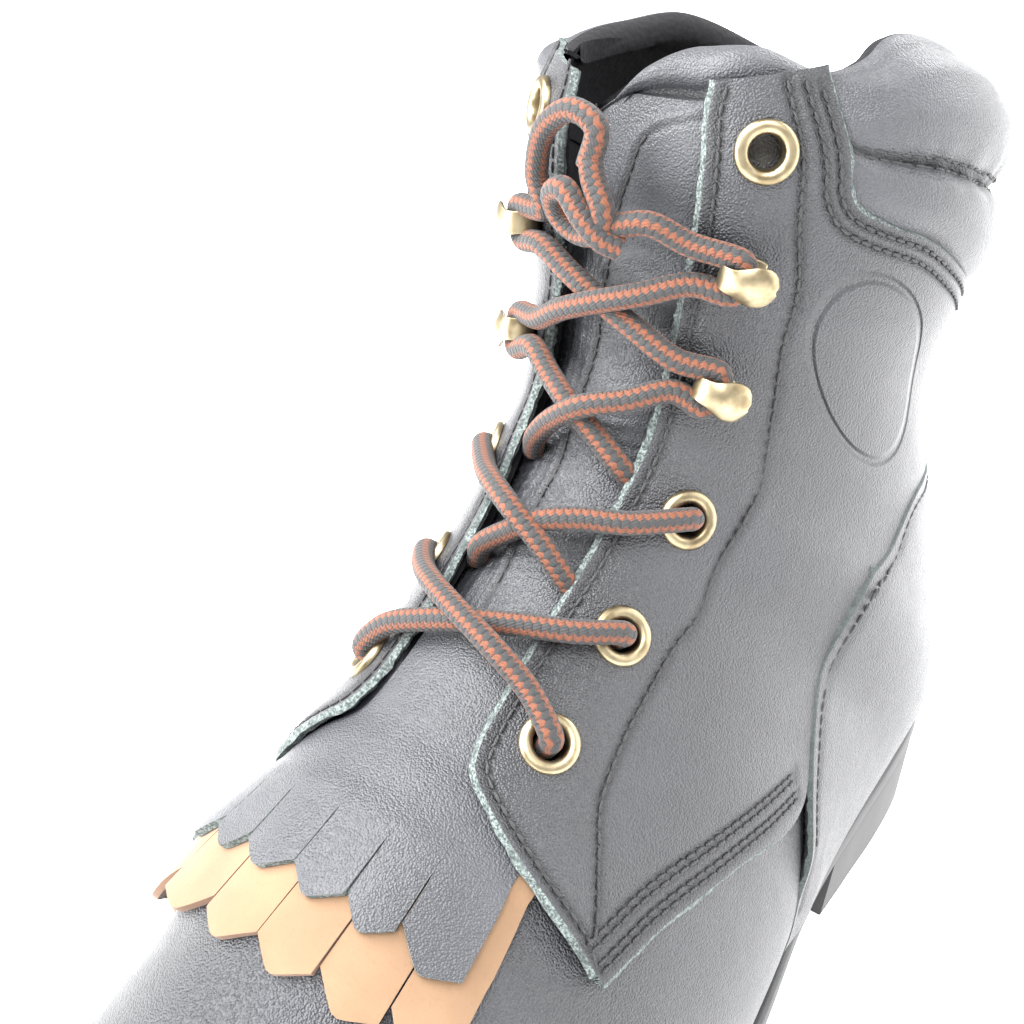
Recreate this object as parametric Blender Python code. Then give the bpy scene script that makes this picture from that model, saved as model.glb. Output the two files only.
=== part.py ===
"""Left kiltie work boot, as separate pieces: sole, upper, overlays, fringe, metal and lace.

Toe at -Y, heel at +Y, lateral side at +X, floor at z = 0. Sizes below are in millimetres.
"""

import math

import bmesh
import bpy
import numpy as np
from mathutils import Matrix, Vector

MM = 0.001
BOX_CENTRE = (2.847, -4.741)

UPPER_WALL = 2.0
QUARTER_WALL = 1.7
COUNTER_WALL = 2.4
FLAP_WALL = 1.5
TONGUE_WALL = 3.0
TONGUE_GAP = 1.3
TONGUE_SIDE = 0.77
TONGUE_ABOVE_RIM = 9.0
FIT = 0.8
OVERLAY_FIT = 0.4
WELT_THICK = 4.2
OUTSOLE_THICK = 4.7
PLATE_GAP = 0.3
SEAT_GAP = 0.5
INSOLE_THICK = 3.0
INSOLE_INSET = 3.5
HEEL_BREAST_STATION = 9.57
HEEL_TAPER = 2.4
THROAT_START = 7.0
THROAT_MARGIN = 0.0195
SEAM_CLEAR = 0.09
WING_LIFT = 3.0
WING_STATIONS = (6.75, 7.1)
WING_SHARES = (0.5, 0.62)
BACK_EASE = 0.07
THROAT_OPENING = 0.9
THROAT_EDGE_START = 7.33

EYELET_RADIUS = 5.65
EYELET_HOLE = 3.1
EYELET_HEIGHT = 0.95
HOOK_CAP_RADIUS = 6.0
HOOK_GROOVE = 5.0
HOOK_HEIGHT = 8.4
LACE_RADIUS = 2.25
LACE_CROSS = 1.3
LACE_BOW = 0.6
ROUND_SIDES = 12

# The feather line: height of the seam between upper and sole along the boot.
FEATHER = (
    ("y", "z"),
    (-150, 21),
    (-125, 13),
    (-95, 9.5),
    (-40, 9.5),
    (0, 13),
    (40, 20),
    (75, 28),
    (150, 33),
)

# One rib a row. Each rib is a cubic curve from the feather line or back seam up to the
# front centre line. base_z is the back seam's height, and the feather line's where None.
SECTIONS = (
    ("name", "lat_x", "lat_y", "med_x", "med_y", "base_z", "lat_out", "med_out", "back", "up",
     "top_x", "top_y", "top_z", "lat_top", "med_top", "forward", "down"),
    ("toe_tip", -4, -147, -4, -147, None, 0, 0, -9, 23, -2, -98, 64, 0, 0, 27, 3),
    ("toe_front", 14, -144, -20, -142, None, 3, -3, -8, 23, -2, -98, 64, 13, -13, 23, 3),
    ("toe_corner", 29, -133, -34, -126, None, 6, -5, -5, 24, -2, -98, 64, 22, -21, 14, 3),
    ("toe_side", 39, -116, -41, -105, None, 8, -7, -3, 26, -2, -97, 64.5, 27, -26, 6, 2),
    ("joint", 46, -93, -44, -83, None, 10, -8, -1, 29, -2, -85, 72, 31, -30, 0, 0),
    ("ball", 50, -64, -44.5, -57, None, 12, -8, 0, 33, -1, -65, 84.5, 33, -33, 0, 0),
    ("vamp", 51, -34, -41, -32, None, 14, -9, 0, 38, 0, -45.5, 96, 34, -36, 0, 0),
    ("throat", 48.5, -4, -35.5, -4, None, 15, -10, 0, 44, 0, -29, 105.5, 34, -38, 0, 0),
    ("instep", 43, 26, -30, 26, None, 15, -12, 4, 50, 0, -14.5, 114.2, 35, -40, 0, 0),
    ("waist", 36.5, 54, -29, 56, None, 11.5, -11, 8, 55, 0, -4.5, 120.5, 36.5, -42.5, 0, 0),
    ("breast", 32.5, 82, -30.5, 84, None, 11, -10.5, -3, 40, 0, 3.5, 126.5, 38.5, -44.5, 0, 0),
    ("heel_side", 30, 104, -29.5, 104, None, 14.5, -14.5, -22, 24, 0, 9.5, 131.7, 39.5, -46.5, 0, 0),
    ("heel_round", 24.5, 126, -24.5, 126, None, 24.5, -24.5, -36, 14, 0, 14.5, 136.4, 40.5, -48.5, 0, 0),
    ("heel_back", 0, 139.5, 0, 139.5, None, 58, -58, -17, 27, 0, 18.7, 141.5, 41.5, -49.5, 0, 0),
    ("counter", 0, 135.5, 0, 135.5, 55, 50, -50, 0, 0, 0, 23.8, 148.3, 42.5, -50.5, 0, 0),
    ("achilles", 0, 127.5, 0, 127.5, 88, 46, -46, 0, 0, 0, 28.2, 157, 44.5, -50.5, 0, 0),
    ("ankle", 0, 119, 0, 119, 118, 45, -45, 0, 0, 0, 31.5, 167.8, 46.5, -50.5, 0, 0),
    ("collar_low", 0, 118, 0, 118, 148, 58, -58, 0, 0, 0, 33.8, 181, 51, -53, 0, 0),
    ("collar_mid", 0, 120, 0, 120, 168, 59, -59, 0, 8, 0, 35, 194, 52, -53, 0, 0),
    ("rim", 0, 115, 0, 115, 184, 46, -46, 0, 20, 0, 38.5, 206, 42, -43, 0, -2),
)

# How far the welt stands out from the feather line, by station.
WELT_REACH = (("station", "reach"), (0, 4.5), (4, 4.5), (6, 3.2), (7.5, 1.0), (9, 0.5), (10, 1.4), (13, 1.6))

# The quarter's two edges, as shares of the rib: its wing and collar edge, and its throat edge.
QUARTER_LOW = (
    ("station", "share"),
    (6.33, 0.512),
    (6.94, 0.48),
    (7.72, 0.401),
    (8.58, 0.285),
    (8.97, 0.357),
    (9.24, 0.404),
    (9.79, 0.452),
    (12.03, 0.533),
    (12.77, 0.556),
    (13.64, 0.539),
    (14.38, 0.492),
    (14.81, 0.431),
    (15.2, 0.31),
    (15.6, 0.15),
    (15.85, 0.006),
    (17.0, 0.006),
    (17.17, 0.374),
    (17.42, 0.53),
    (17.68, 0.677),
    (17.9, 0.7),
    (19, 0.7),
)
QUARTER_HIGH = (
    ("station", "share"),
    (6.33, 0.53),
    (6.42, 0.659),
    (6.6, 0.772),
    (6.94, 0.859),
    (7.33, 0.875),
    (9.25, 0.886),
    (13.95, 0.895),
    (18.4, 0.891),
    (19, 0.875),
)
COUNTER_EDGE = (
    ("station", "share"),
    (8.12, 0.1),
    (8.29, 0.187),
    (8.58, 0.27),
    (8.97, 0.343),
    (9.24, 0.388),
    (9.79, 0.436),
    (12.03, 0.517),
    (12.77, 0.54),
    (13.64, 0.523),
    (14.38, 0.476),
    (14.81, 0.415),
    (15.2, 0.29),
    (15.57, 0.138),
    (15.68, 0.06),
)
# The padded collar: its lower edge, by share of the rib, and its swell from edge to rim.
COLLAR_EDGE = (("share", "station"), (0, 17.1), (0.374, 17.28), (0.53, 17.54), (0.62, 17.7), (0.68, 18.02))
COLLAR_SWELL = (("way", "swell"), (0, 1.2), (0.1, 3.2), (0.24, 4.6), (0.38, 3.4), (0.46, 1.4), (0.54, 3.6),
                (0.7, 7.0), (0.86, 6.0), (1, 2.6))
COLLAR_FRONT = 0.68

# Eyelets and hooks up each side, as station and share of the rib.
FITTINGS = (
    ("name", "station", "share"),
    ("eyelet_1", 7.49, 0.782),
    ("eyelet_2", 9.02, 0.777),
    ("eyelet_3", 12.41, 0.807),
    ("hook_1", 15.07, 0.832),
    ("hook_2", 16.76, 0.826),
    ("eyelet_4", 18.22, 0.816),
)

# The two fringed flaps: strip edges across, and the stations of root, slits and tips.
KILTIES = (
    ("name", "edges", "top", "slit", "tip", "droop", "lift"),
    ("kiltie_black", (-37, -26.5, -15.5, -4, 8, 19, 29.5), 8.3, 6.1, 5.29, 0.0003, 2.7),
    ("kiltie_tan", (-39, -27, -14.5, -1.5, 10.5, 21.5, 32.5), 6.16, 5.75, 4.78, 0.0003, 0.6),
)
# How far the flaps reach to each side under the wings, by station.
FLAP_REACH = (("station", "reach"), (6.1, 40), (6.3, 36), (6.42, 32.5), (6.6, 22.5), (6.94, 13.2), (7.33, 11.8),
              (8.3, 10.8))
FLAP_POINT = 0.26
SLIT_WIDTH = 0.6

# Lace bars: half distance and station where a bar starts and ends, its lift at both, and the
# side, +1 lateral or -1 medial, whose bar passes over the other.
LACE_BARS = (
    ("name", "start_x", "start_station", "start_lift", "end_x", "end_station", "end_lift", "over"),
    ("lace_cross_1", 14.5, 7.8, 5.2, 15.0, 8.75, 5.2, 1),
    ("lace_cross_2", 9.3, 9.7, 0.8, 13.6, 11.5, 5.2, 1),
    ("lace_cross_3", 9.3, 12.9, 0.8, 13.1, 14.8, 4.85, -1),
    ("lace_cross_4", 13.1, 15.35, 4.85, 14.6, 16.5, 4.85, -1),
)
# Free lace: points as x, station and lift from the front centre line.
LACE_ENDS = {
    "lace_end_lateral": ((14.4, 17.0, 4.75), (8.5, 17.2, 6.4), (3.0, 17.08, 7.0), (-2.0, 17.0, 7.2)),
    "lace_loop": (
        (-14.8, 17.0, 4.75),
        (-15.6, 17.5, 6.2),
        (-12.4, 18.1, 7.4),
        (-6.4, 18.4, 8.0),
        (-1.4, 18.25, 7.6),
        (-2.6, 17.8, 7.2),
    ),
}

COLOURS = {
    "black_leather": ((0.022, 0.023, 0.026), 0.42, 0.0),
    "tan_nubuck": ((0.55, 0.29, 0.12), 0.85, 0.0),
    "black_rubber": ((0.012, 0.012, 0.013), 0.55, 0.0),
    "insole_board": ((0.05, 0.05, 0.05), 0.9, 0.0),
    "antique_brass": ((0.42, 0.34, 0.2), 0.35, 1.0),
    "lace_cord": ((0.09, 0.05, 0.035), 0.8, 0.0),
}


def column(table, name):
    index = table[0].index(name)
    return np.array([np.nan if row[index] is None else row[index] for row in table[1:]], float)


def monotone(knots, values, at):
    """Smooth interpolation through the rows that never overshoots them, straight on past both ends."""
    knots, values, at = (np.asarray(part, float) for part in (knots, values, at))
    past = at - np.clip(at, knots[0], knots[-1])
    at = at - past
    step = np.diff(knots)
    rise = np.diff(values) / step
    before, after = rise[:-1], rise[1:]
    weigh_before = 2 * step[1:] + step[:-1]
    weigh_after = step[1:] + 2 * step[:-1]
    same = before * after > 0
    spread = weigh_before / np.where(same, before, 1) + weigh_after / np.where(same, after, 1)
    inner = np.where(same, (weigh_before + weigh_after) / np.where(same, spread, 1), 0)
    slope = np.concatenate([rise[:1], inner, rise[-1:]])
    i = np.clip(np.searchsorted(knots, at, side="right") - 1, 0, len(step) - 1)
    t = (at - knots[i]) / step[i]
    rising = step[i] * (slope[i] * t * (1 - t) ** 2 + slope[i + 1] * t * t * (t - 1))
    rising = rising + past * np.where(past > 0, slope[-1], slope[0])
    return values[i] * (1 + 2 * t) * (1 - t) ** 2 + values[i + 1] * t * t * (3 - 2 * t) + rising


def along(table, at):
    """The second column of a two-column table at a value of its first."""
    first, second = table[0]
    return monotone(column(table, first), column(table, second), at)


def smooth_step(low, high, at):
    t = np.clip((np.asarray(at, float) - low) / (high - low), 0, 1)
    return t * t * (3 - 2 * t)


NAMES = [row[0] for row in SECTIONS[1:]]
LAST_STATION = len(NAMES) - 1
HEEL_BACK = NAMES.index("heel_back")
COLLAR_LOW = NAMES.index("collar_low")
RIB_STATIONS = np.union1d(np.arange(0, LAST_STATION + 0.1, 0.5), [6.25, 6.4, 6.75, 7.1, 7.25])
RIB_COLUMNS = 12


def section(name, station):
    return monotone(np.arange(len(NAMES)), column(SECTIONS, name), station)


def feather(side, station):
    """The feather line in plan on one side. The other side's rows lead in and out, so both ends are round."""
    own, other = ("lat", "med") if side > 0 else ("med", "lat")
    line = []
    for axis in ("_x", "_y"):
        rows, beyond = column(SECTIONS, own + axis), column(SECTIONS, other + axis)
        values = [beyond[1], *rows[: HEEL_BACK + 1], beyond[HEEL_BACK - 1]]
        line.append(monotone(np.arange(-1, HEEL_BACK + 2), values, station))
    return np.stack(line, -1)


def rib_base(side, station):
    """A rib's lower end: on the feather line round the foot, up the back seam above it."""
    foot = feather(side, np.minimum(station, HEEL_BACK))
    foot = np.concatenate([foot, along(FEATHER, foot[..., 1])[..., None]], -1)
    height = column(SECTIONS, "base_z")
    height = np.where(np.isnan(height), along(FEATHER, column(SECTIONS, "lat_y")), height)
    seam_z = monotone(np.arange(len(NAMES)), height, station)
    seam = np.stack([section("lat_x", station), section("lat_y", station), seam_z], -1)
    return np.where((station <= HEEL_BACK)[..., None], foot, seam)


def surface(side, station, share):
    """A point of the last: side is +1 lateral or -1 medial, share runs from base to top of a rib."""
    station, share = np.broadcast_arrays(np.asarray(station, float), np.asarray(share, float))
    key = "lat" if side > 0 else "med"
    base = rib_base(side, station)
    # The collar's ribs leave the back seam level, so the rim has no point there.
    eased = np.where(station > COLLAR_LOW, share / (share + BACK_EASE), 1)
    up = section("up", station) * eased
    out = np.stack([section(key + "_out", station), section("back", station), up], -1)
    top = np.stack([section("top_" + axis, station) for axis in "xyz"], -1)
    reach = np.stack(
        [section(key + "_top", station), -section("forward", station), -section("down", station)], -1)
    u = share[..., None]
    ends = (1 - u) ** 3 * base + u**3 * top
    return ends + 3 * (1 - u) ** 2 * u * (base + out) + 3 * (1 - u) * u * u * (top + reach)


def normal(side, station, share, step=1e-3):
    """The outward direction of the last's surface."""
    station, share = np.broadcast_arrays(np.asarray(station, float), np.asarray(share, float))
    later, sooner = np.clip(station + step, 0, LAST_STATION), np.clip(station - step, 0, LAST_STATION)
    higher, lower = np.clip(share + step, 0, 1), np.clip(share - step, 0, 1)
    run = surface(side, later, share) - surface(side, sooner, share)
    climb = surface(side, station, higher) - surface(side, station, lower)
    out = np.cross(run, climb) * side
    return out / np.maximum(np.linalg.norm(out, axis=-1, keepdims=True), 1e-12)


def lifted(side, station, share, lift):
    """A point over the surface. Those over the back seam and front centre line stay in the middle."""
    station, share = np.broadcast_arrays(np.asarray(station, float), np.asarray(share, float))
    points = surface(side, station, share)
    middle = (share == 1) | ((share == 0) & (station >= HEEL_BACK))
    raised = points + np.asarray(lift, float)[..., None] * normal(side, station, share)
    raised[..., 0] = np.where(middle, points[..., 0], raised[..., 0])
    return raised


def share_at(station, across):
    """The share of the rib where it is this far from the front centre line."""
    side = 1 if across >= 0 else -1
    low, high = 0.4, 1.0
    for _ in range(40):
        middle = (low + high) / 2
        if abs(surface(side, station, middle)[0] - section("top_x", station)) > abs(across):
            low = middle
        else:
            high = middle
    return side, middle


def over_front(across, station, lift):
    """A point over the front of the boot, from its distance off the centre line."""
    side, share = share_at(station, across)
    return lifted(side, station, share, lift)


def material(name):
    made = bpy.data.materials.get(name)
    if made:
        return made
    made = bpy.data.materials.new(name)
    made.use_nodes = True
    colour, roughness, metallic = COLOURS[name]
    shader = made.node_tree.nodes["Principled BSDF"]
    shader.inputs["Base Color"].default_value = (*colour, 1)
    shader.inputs["Roughness"].default_value = roughness
    shader.inputs["Metallic"].default_value = metallic
    made.diffuse_color = (*colour, 1)
    return made


def add_object(name, points, faces, slot):
    """A mesh object from points in millimetres, with coincident points joined."""
    shift = np.array([BOX_CENTRE[0], BOX_CENTRE[1], 0])
    mesh = bpy.data.meshes.new(name)
    mesh.from_pydata(((np.asarray(points) - shift) * MM).tolist(), [], [list(face) for face in faces])
    work = bmesh.new()
    work.from_mesh(mesh)
    bmesh.ops.remove_doubles(work, verts=work.verts, dist=0.01 * MM)
    bmesh.ops.dissolve_degenerate(work, edges=work.edges, dist=0.001 * MM)
    work.to_mesh(mesh)
    work.free()
    mesh.shade_smooth()
    mesh.materials.append(material(slot))
    made = bpy.data.objects.new(name, mesh)
    bpy.context.scene.collection.objects.link(made)
    return made


def grid_faces(rows, columns, first=0, flip=False):
    faces = []
    for i in range(rows - 1):
        for j in range(columns - 1):
            a = first + i * columns + j
            b, c, d = a + columns, a + columns + 1, a + 1
            faces += [(c, b, a), (d, c, a)] if flip else [(a, b, c), (a, c, d)]
    return faces


def thicken(made, wall, outward):
    made.modifiers.new("wall", "SOLIDIFY")
    made.modifiers["wall"].thickness = wall * MM
    made.modifiers["wall"].offset = 1 if outward else -1
    return made


def two_sides(grids):
    """One open surface from a lateral and a medial grid of points, facing outwards."""
    points, faces = [], []
    for side, grid in grids:
        rows, columns = grid.shape[:2]
        faces += grid_faces(rows, columns, len(points), flip=side < 0)
        points += grid.reshape(-1, 3).tolist()
    return points, faces


def add_block(name, outer, inner, slot):
    """A closed solid between two grids of points, outer facing outwards."""
    rows, columns = outer.shape[:2]
    half = rows * columns
    faces = grid_faces(rows, columns) + grid_faces(rows, columns, half, flip=True)
    rim = [i * columns for i in range(rows)]
    rim += [(rows - 1) * columns + j for j in range(1, columns)]
    rim += [i * columns + columns - 1 for i in range(rows - 2, -1, -1)]
    rim += list(range(columns - 2, 0, -1))
    for a, b in zip(rim, rim[1:] + rim[:1]):
        faces.append((b, a, a + half, b + half))
    return add_object(name, np.concatenate([outer.reshape(-1, 3), inner.reshape(-1, 3)]), faces, slot)


def rib_shares():
    """The upper's own lattice: for each station, shares of the rib from its base to the open edge."""
    opened = np.clip((RIB_STATIONS - THROAT_START) / THROAT_OPENING, 0, 1) ** 0.5
    edge = along(QUARTER_HIGH, np.maximum(RIB_STATIONS, THROAT_EDGE_START)) - THROAT_MARGIN
    tops = 1 - opened * (1 - edge)
    return tops[:, None] * np.linspace(0, 1, RIB_COLUMNS)[None, :]


def make_upper():
    """The hollow upper: open underneath, at the throat and at the collar."""
    grids = [(side, surface(side, RIB_STATIONS[:, None], rib_shares())) for side in (1, -1)]
    made = add_object("upper", *two_sides(grids), "black_leather")
    return thicken(made, UPPER_WALL, outward=False)


def clip(polygon, keep):
    """The part of a polygon where keep is positive. Its points hold station, share and place."""
    kept = []
    for start, end in zip(polygon, polygon[1:] + polygon[:1]):
        if keep(*start[:2]) > 0:
            kept.append(start)
        if (keep(*start[:2]) > 0) != (keep(*end[:2]) > 0):
            inside, outside = (start, end) if keep(*start[:2]) > 0 else (end, start)
            for _ in range(24):
                middle = (inside + outside) / 2
                inside, outside = (middle, outside) if keep(*middle[:2]) > 0 else (inside, middle)
            kept.append(inside)
    return kept


def cut_overlay(name, sides, stations, shares, lift, keeps, wall):
    """A panel cut from a layer over the upper's own lattice, where every keep is positive."""
    points, faces = [], []
    stations = np.broadcast_to(stations, shares.shape)
    for side in sides:
        lattice = np.concatenate(
            [stations[..., None], shares[..., None], lifted(side, stations, shares, lift)], -1)
        rows, columns = shares.shape
        for cell in grid_faces(rows, columns, flip=side < 0):
            polygon = [lattice[divmod(corner, columns)] for corner in cell]
            for keep in keeps:
                polygon = clip(polygon, keep)
            if len(polygon) > 2:
                faces.append(range(len(points), len(points) + len(polygon)))
                points += [point[2:] for point in polygon]
    return thicken(add_object(name, points, faces, "black_leather"), wall, outward=True)


def make_quarter(name, side):
    """One quarter: ankle side, eyestay and pointed wing, its wing raised over the fringe."""
    rows = RIB_STATIONS >= 6
    stations, shares = RIB_STATIONS[rows][:, None], rib_shares()[rows]
    shares = np.minimum(np.concatenate([shares, shares[:, -1:] + 0.04], 1), 1)
    raised = (1 - smooth_step(*WING_STATIONS, stations)) * smooth_step(*WING_SHARES, shares)
    keeps = (
        lambda station, share: share - along(QUARTER_LOW, station),
        lambda station, share: along(QUARTER_HIGH, station) - share,
    )
    return cut_overlay(name, [side], stations, shares, OVERLAY_FIT + WING_LIFT * raised, keeps, QUARTER_WALL)


def make_counter():
    """The heel counter, from the waist round the heel, standing on the welt."""
    rows = (RIB_STATIONS > 7.9) & (RIB_STATIONS < 16.1)
    stations, shares = RIB_STATIONS[rows][:, None], rib_shares()[rows]

    def above_welt(station, share):
        start = 0.012 + 0.014 * smooth_step(11, 12.5, station)
        return share - start + 0.03 * np.clip((station - HEEL_BACK) / SEAM_CLEAR, 0, 1)

    keeps = (above_welt, lambda station, share: along(COUNTER_EDGE, station) - share)
    fit = np.full(shares.shape, OVERLAY_FIT)
    return cut_overlay("counter", (1, -1), stations, shares, fit, keeps, COUNTER_WALL)


def make_collar():
    """The padded collar of two rolls round the back of the shaft."""
    across = np.linspace(-1, 1, 23)
    way = column(COLLAR_SWELL, "way")
    outer, inner = [], []
    for q in across:
        side = 1 if q >= 0 else -1
        share = abs(q) * COLLAR_FRONT
        low = along(COLLAR_EDGE, share)
        stations = low + way * (LAST_STATION - low)
        ease = 1 - 0.55 * smooth_step(0.8, 1.0, abs(q))
        outer.append(lifted(side, stations, share, FIT + column(COLLAR_SWELL, "swell") * ease))
        inner.append(lifted(side, stations, share, np.full(len(way), FIT)))
    return add_block("collar_pad", np.array(outer)[::-1], np.array(inner)[::-1], "black_leather")


def make_tongue():
    """The tongue under the throat, from inside the vamp to above the rim."""
    stations = np.concatenate([np.linspace(6.6, 8.6, 4), np.linspace(9.6, 18.8, 10)])
    across = np.linspace(-1, 1, 9)
    depth = UPPER_WALL + TONGUE_GAP
    layers = []
    for sink in (depth, depth + TONGUE_WALL):
        rows = []
        for q in across:
            side = 1 if q >= 0 else -1
            share = 1 - abs(q) * (1 - TONGUE_SIDE)
            line = lifted(side, stations, share, np.full(len(stations), -sink))
            rise = line[-1] - line[-2]
            rise = rise / np.linalg.norm(rise)
            rows.append(np.vstack([line, line[-1] + rise * TONGUE_ABOVE_RIM]))
        layers.append(np.array(rows))
    return add_block("tongue", layers[0], layers[1], "black_leather")


def make_kiltie(name, edges, top, slit, tip, droop, lift):
    """A fringed flap: a plain upper part and strips with pointed tips."""
    columns = []
    for left, right in zip(edges, edges[1:]):
        columns += [left + SLIT_WIDTH / 2, (left + right) / 2, right - SLIT_WIDTH / 2]
    body = np.linspace(top, slit, 6 if top > THROAT_START else 2)
    ramp = smooth_step(-6.5, -6.2, -body)
    points = []
    for station, reach, raised in zip(body, along(FLAP_REACH, np.maximum(body, 6.1)), ramp):
        for x in columns:
            width = min(1, reach / abs(edges[0] if x < 0 else edges[-1]))
            points.append(over_front(x * width, station, FIT + (lift - FIT) * raised))
    faces = grid_faces(len(body), len(columns))
    root = (len(body) - 1) * len(columns)
    for strip in range(len(edges) - 1):
        end = tip + droop * ((edges[strip] + edges[strip + 1]) / 2) ** 2
        above = [root + 3 * strip + k for k in range(3)]
        for way in (0.34, 0.67, 1.0):
            first = len(points)
            for k in range(3):
                last = end + (0 if k == 1 else FLAP_POINT)
                points.append(over_front(columns[3 * strip + k], slit + (last - slit) * way, lift))
            below = [first, first + 1, first + 2]
            faces += [(above[k], below[k], below[k + 1], above[k + 1]) for k in range(2)]
            above = below
    slot = "black_leather" if name.endswith("black") else "tan_nubuck"
    return thicken(add_object(name, points, faces, slot), FLAP_WALL, outward=True)


def feather_outline(stations, reach):
    """Lateral and medial outline in plan, this far outside the feather line."""
    sides = []
    for sign in (1, -1):
        line = feather(sign, stations)
        run = np.gradient(line, axis=0)
        run[0] = (sign, 0) if stations[0] == 0 else run[0]
        run[-1] = (-sign, 0) if stations[-1] == HEEL_BACK else run[-1]
        out = np.stack([run[:, 1], -run[:, 0]], -1) * sign
        out /= np.linalg.norm(out, axis=1, keepdims=True)
        sides.append(line + out * np.asarray(reach)[..., None])
    return sides


def add_plate(name, tops, bottoms, top_height, bottom_height, slot):
    """A closed plate between a top and a bottom outline, each given as its two sides."""
    lines = [(tops[0], top_height), (tops[1], top_height), (bottoms[1], bottom_height), (bottoms[0], bottom_height)]
    rows = len(tops[0])
    points = np.concatenate([np.column_stack([line, height(line[:, 1])]) for line, height in lines])
    faces = []
    for i in range(rows - 1):
        top, across, below, under = (k * rows + i for k in range(4))
        faces += [(top, top + 1, across), (top + 1, across + 1, across)]
        faces += [(under, below, under + 1), (under + 1, below, below + 1)]
        faces += [(across, across + 1, below + 1, below), (under, under + 1, top + 1, top)]
    first = [k * rows for k in range(4)]
    last = [k * rows + rows - 1 for k in range(4)]
    faces += [first, last[::-1]]
    return add_object(name, points, faces, slot)


def make_sole():
    """Welt, outsole, heel block and insole, stacked from the feather line down."""
    stations = np.linspace(0, HEEL_BACK, 40)
    reach = along(WELT_REACH, stations)

    def welt_top(y):
        return along(FEATHER, y) - PLATE_GAP

    def outsole_top(y):
        return welt_top(y) - WELT_THICK - PLATE_GAP

    def outsole_bottom(y):
        return np.maximum(outsole_top(y) - OUTSOLE_THICK, 0)

    def heel_top(y):
        return outsole_bottom(y) - PLATE_GAP

    welt = feather_outline(stations, reach)
    add_plate("welt", welt, welt, welt_top, lambda y: welt_top(y) - WELT_THICK, "black_leather")
    tread = feather_outline(stations, reach - 0.8)
    add_plate("outsole", welt, tread, outsole_top, outsole_bottom, "black_rubber")
    behind = np.linspace(HEEL_BREAST_STATION, HEEL_BACK, 21)
    heel_reach = along(WELT_REACH, behind) - 0.4
    upper_line = feather_outline(behind, heel_reach)
    floor_line = feather_outline(behind, heel_reach - HEEL_TAPER)
    add_plate("heel", upper_line, floor_line, heel_top, np.zeros_like, "black_rubber")
    inside = feather_outline(stations, np.full(len(stations), -INSOLE_INSET))

    def insole_bottom(y):
        return along(FEATHER, y) + PLATE_GAP / 2

    add_plate("insole", inside, inside, lambda y: insole_bottom(y) + INSOLE_THICK, insole_bottom, "insole_board")


def seat_matrix(side, station, share, lift):
    """A frame standing on the surface, its Z along the outward direction and Y up the rib's row."""
    out = Vector(normal(side, station, share))
    up = Vector(surface(side, station + 0.05, share) - surface(side, station - 0.05, share))
    up = (up - out * up.dot(out)).normalized()
    turn = Matrix((up.cross(out), up, out)).transposed().to_4x4()
    shift = Vector((BOX_CENTRE[0], BOX_CENTRE[1], 0))
    turn.translation = (Vector(lifted(side, station, share, lift)) - shift) * MM
    return turn


def turned(name, profile, seat, slot):
    """A solid turned round its own Z from a closed profile of radius and height."""
    points, faces = [], []
    count = len(profile)
    for i in range(ROUND_SIDES):
        angle = 2 * math.pi * i / ROUND_SIDES
        points += [(r * math.cos(angle), r * math.sin(angle), z) for r, z in profile]
    for i in range(ROUND_SIDES):
        for j in range(count):
            a, b = i * count, (i + 1) % ROUND_SIDES * count
            k = (j + 1) % count
            faces.append((a + j, b + j, b + k, a + k))
    made = add_object(name, np.array(points) + [*BOX_CENTRE, 0], faces, slot)
    made.matrix_world = seat
    return made


def make_fittings():
    """Eyelets and speed hooks up both sides of the throat, seated on the quarters."""
    ring = ((EYELET_HOLE, 0), (EYELET_RADIUS, 0), (EYELET_RADIUS, 0.4), (4.4, EYELET_HEIGHT),
            (EYELET_HOLE, 0.6))
    cap = HOOK_CAP_RADIUS
    hook = ((0, 0), (4.2, 0), (4.2, 0.8), (1.9, 0.8), (1.9, 0.8 + HOOK_GROOVE), (cap, 0.3 + HOOK_GROOVE),
            (cap, 1.1 + HOOK_GROOVE), (0.6 * cap, 2.7 + HOOK_GROOVE), (0, HOOK_HEIGHT))
    seat_lift = OVERLAY_FIT + QUARTER_WALL + SEAT_GAP
    for name, station, share in FITTINGS[1:]:
        for side, word in ((1, "lateral"), (-1, "medial")):
            seat = seat_matrix(side, station, share, seat_lift)
            profile = hook if name.startswith("hook") else ring
            turned(f"{name}_{word}", profile, seat, "antique_brass")


def smooth_route(points, count):
    """Points read from a smooth curve through a route's own points."""
    points = np.asarray(points, float)
    reach = np.concatenate([[0], np.cumsum(np.linalg.norm(np.diff(points, axis=0), axis=1))])
    at = np.linspace(0, reach[-1], count)
    return np.stack([monotone(reach, points[:, k], at) for k in range(3)], -1)


def add_cord(name, route):
    """A round cord along a route, as a curve with a bevel and filled caps."""
    shift = np.array([BOX_CENTRE[0], BOX_CENTRE[1], 0])
    curve = bpy.data.curves.new(name, "CURVE")
    curve.dimensions = "3D"
    curve.bevel_depth = LACE_RADIUS * MM
    curve.bevel_resolution = 2
    curve.use_fill_caps = True
    spline = curve.splines.new("POLY")
    spline.points.add(len(route) - 1)
    for point, place in zip(spline.points, (route - shift) * MM):
        point.co = (*place, 1)
    curve.materials.append(material("lace_cord"))
    made = bpy.data.objects.new(name, curve)
    bpy.context.scene.collection.objects.link(made)
    return made


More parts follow.
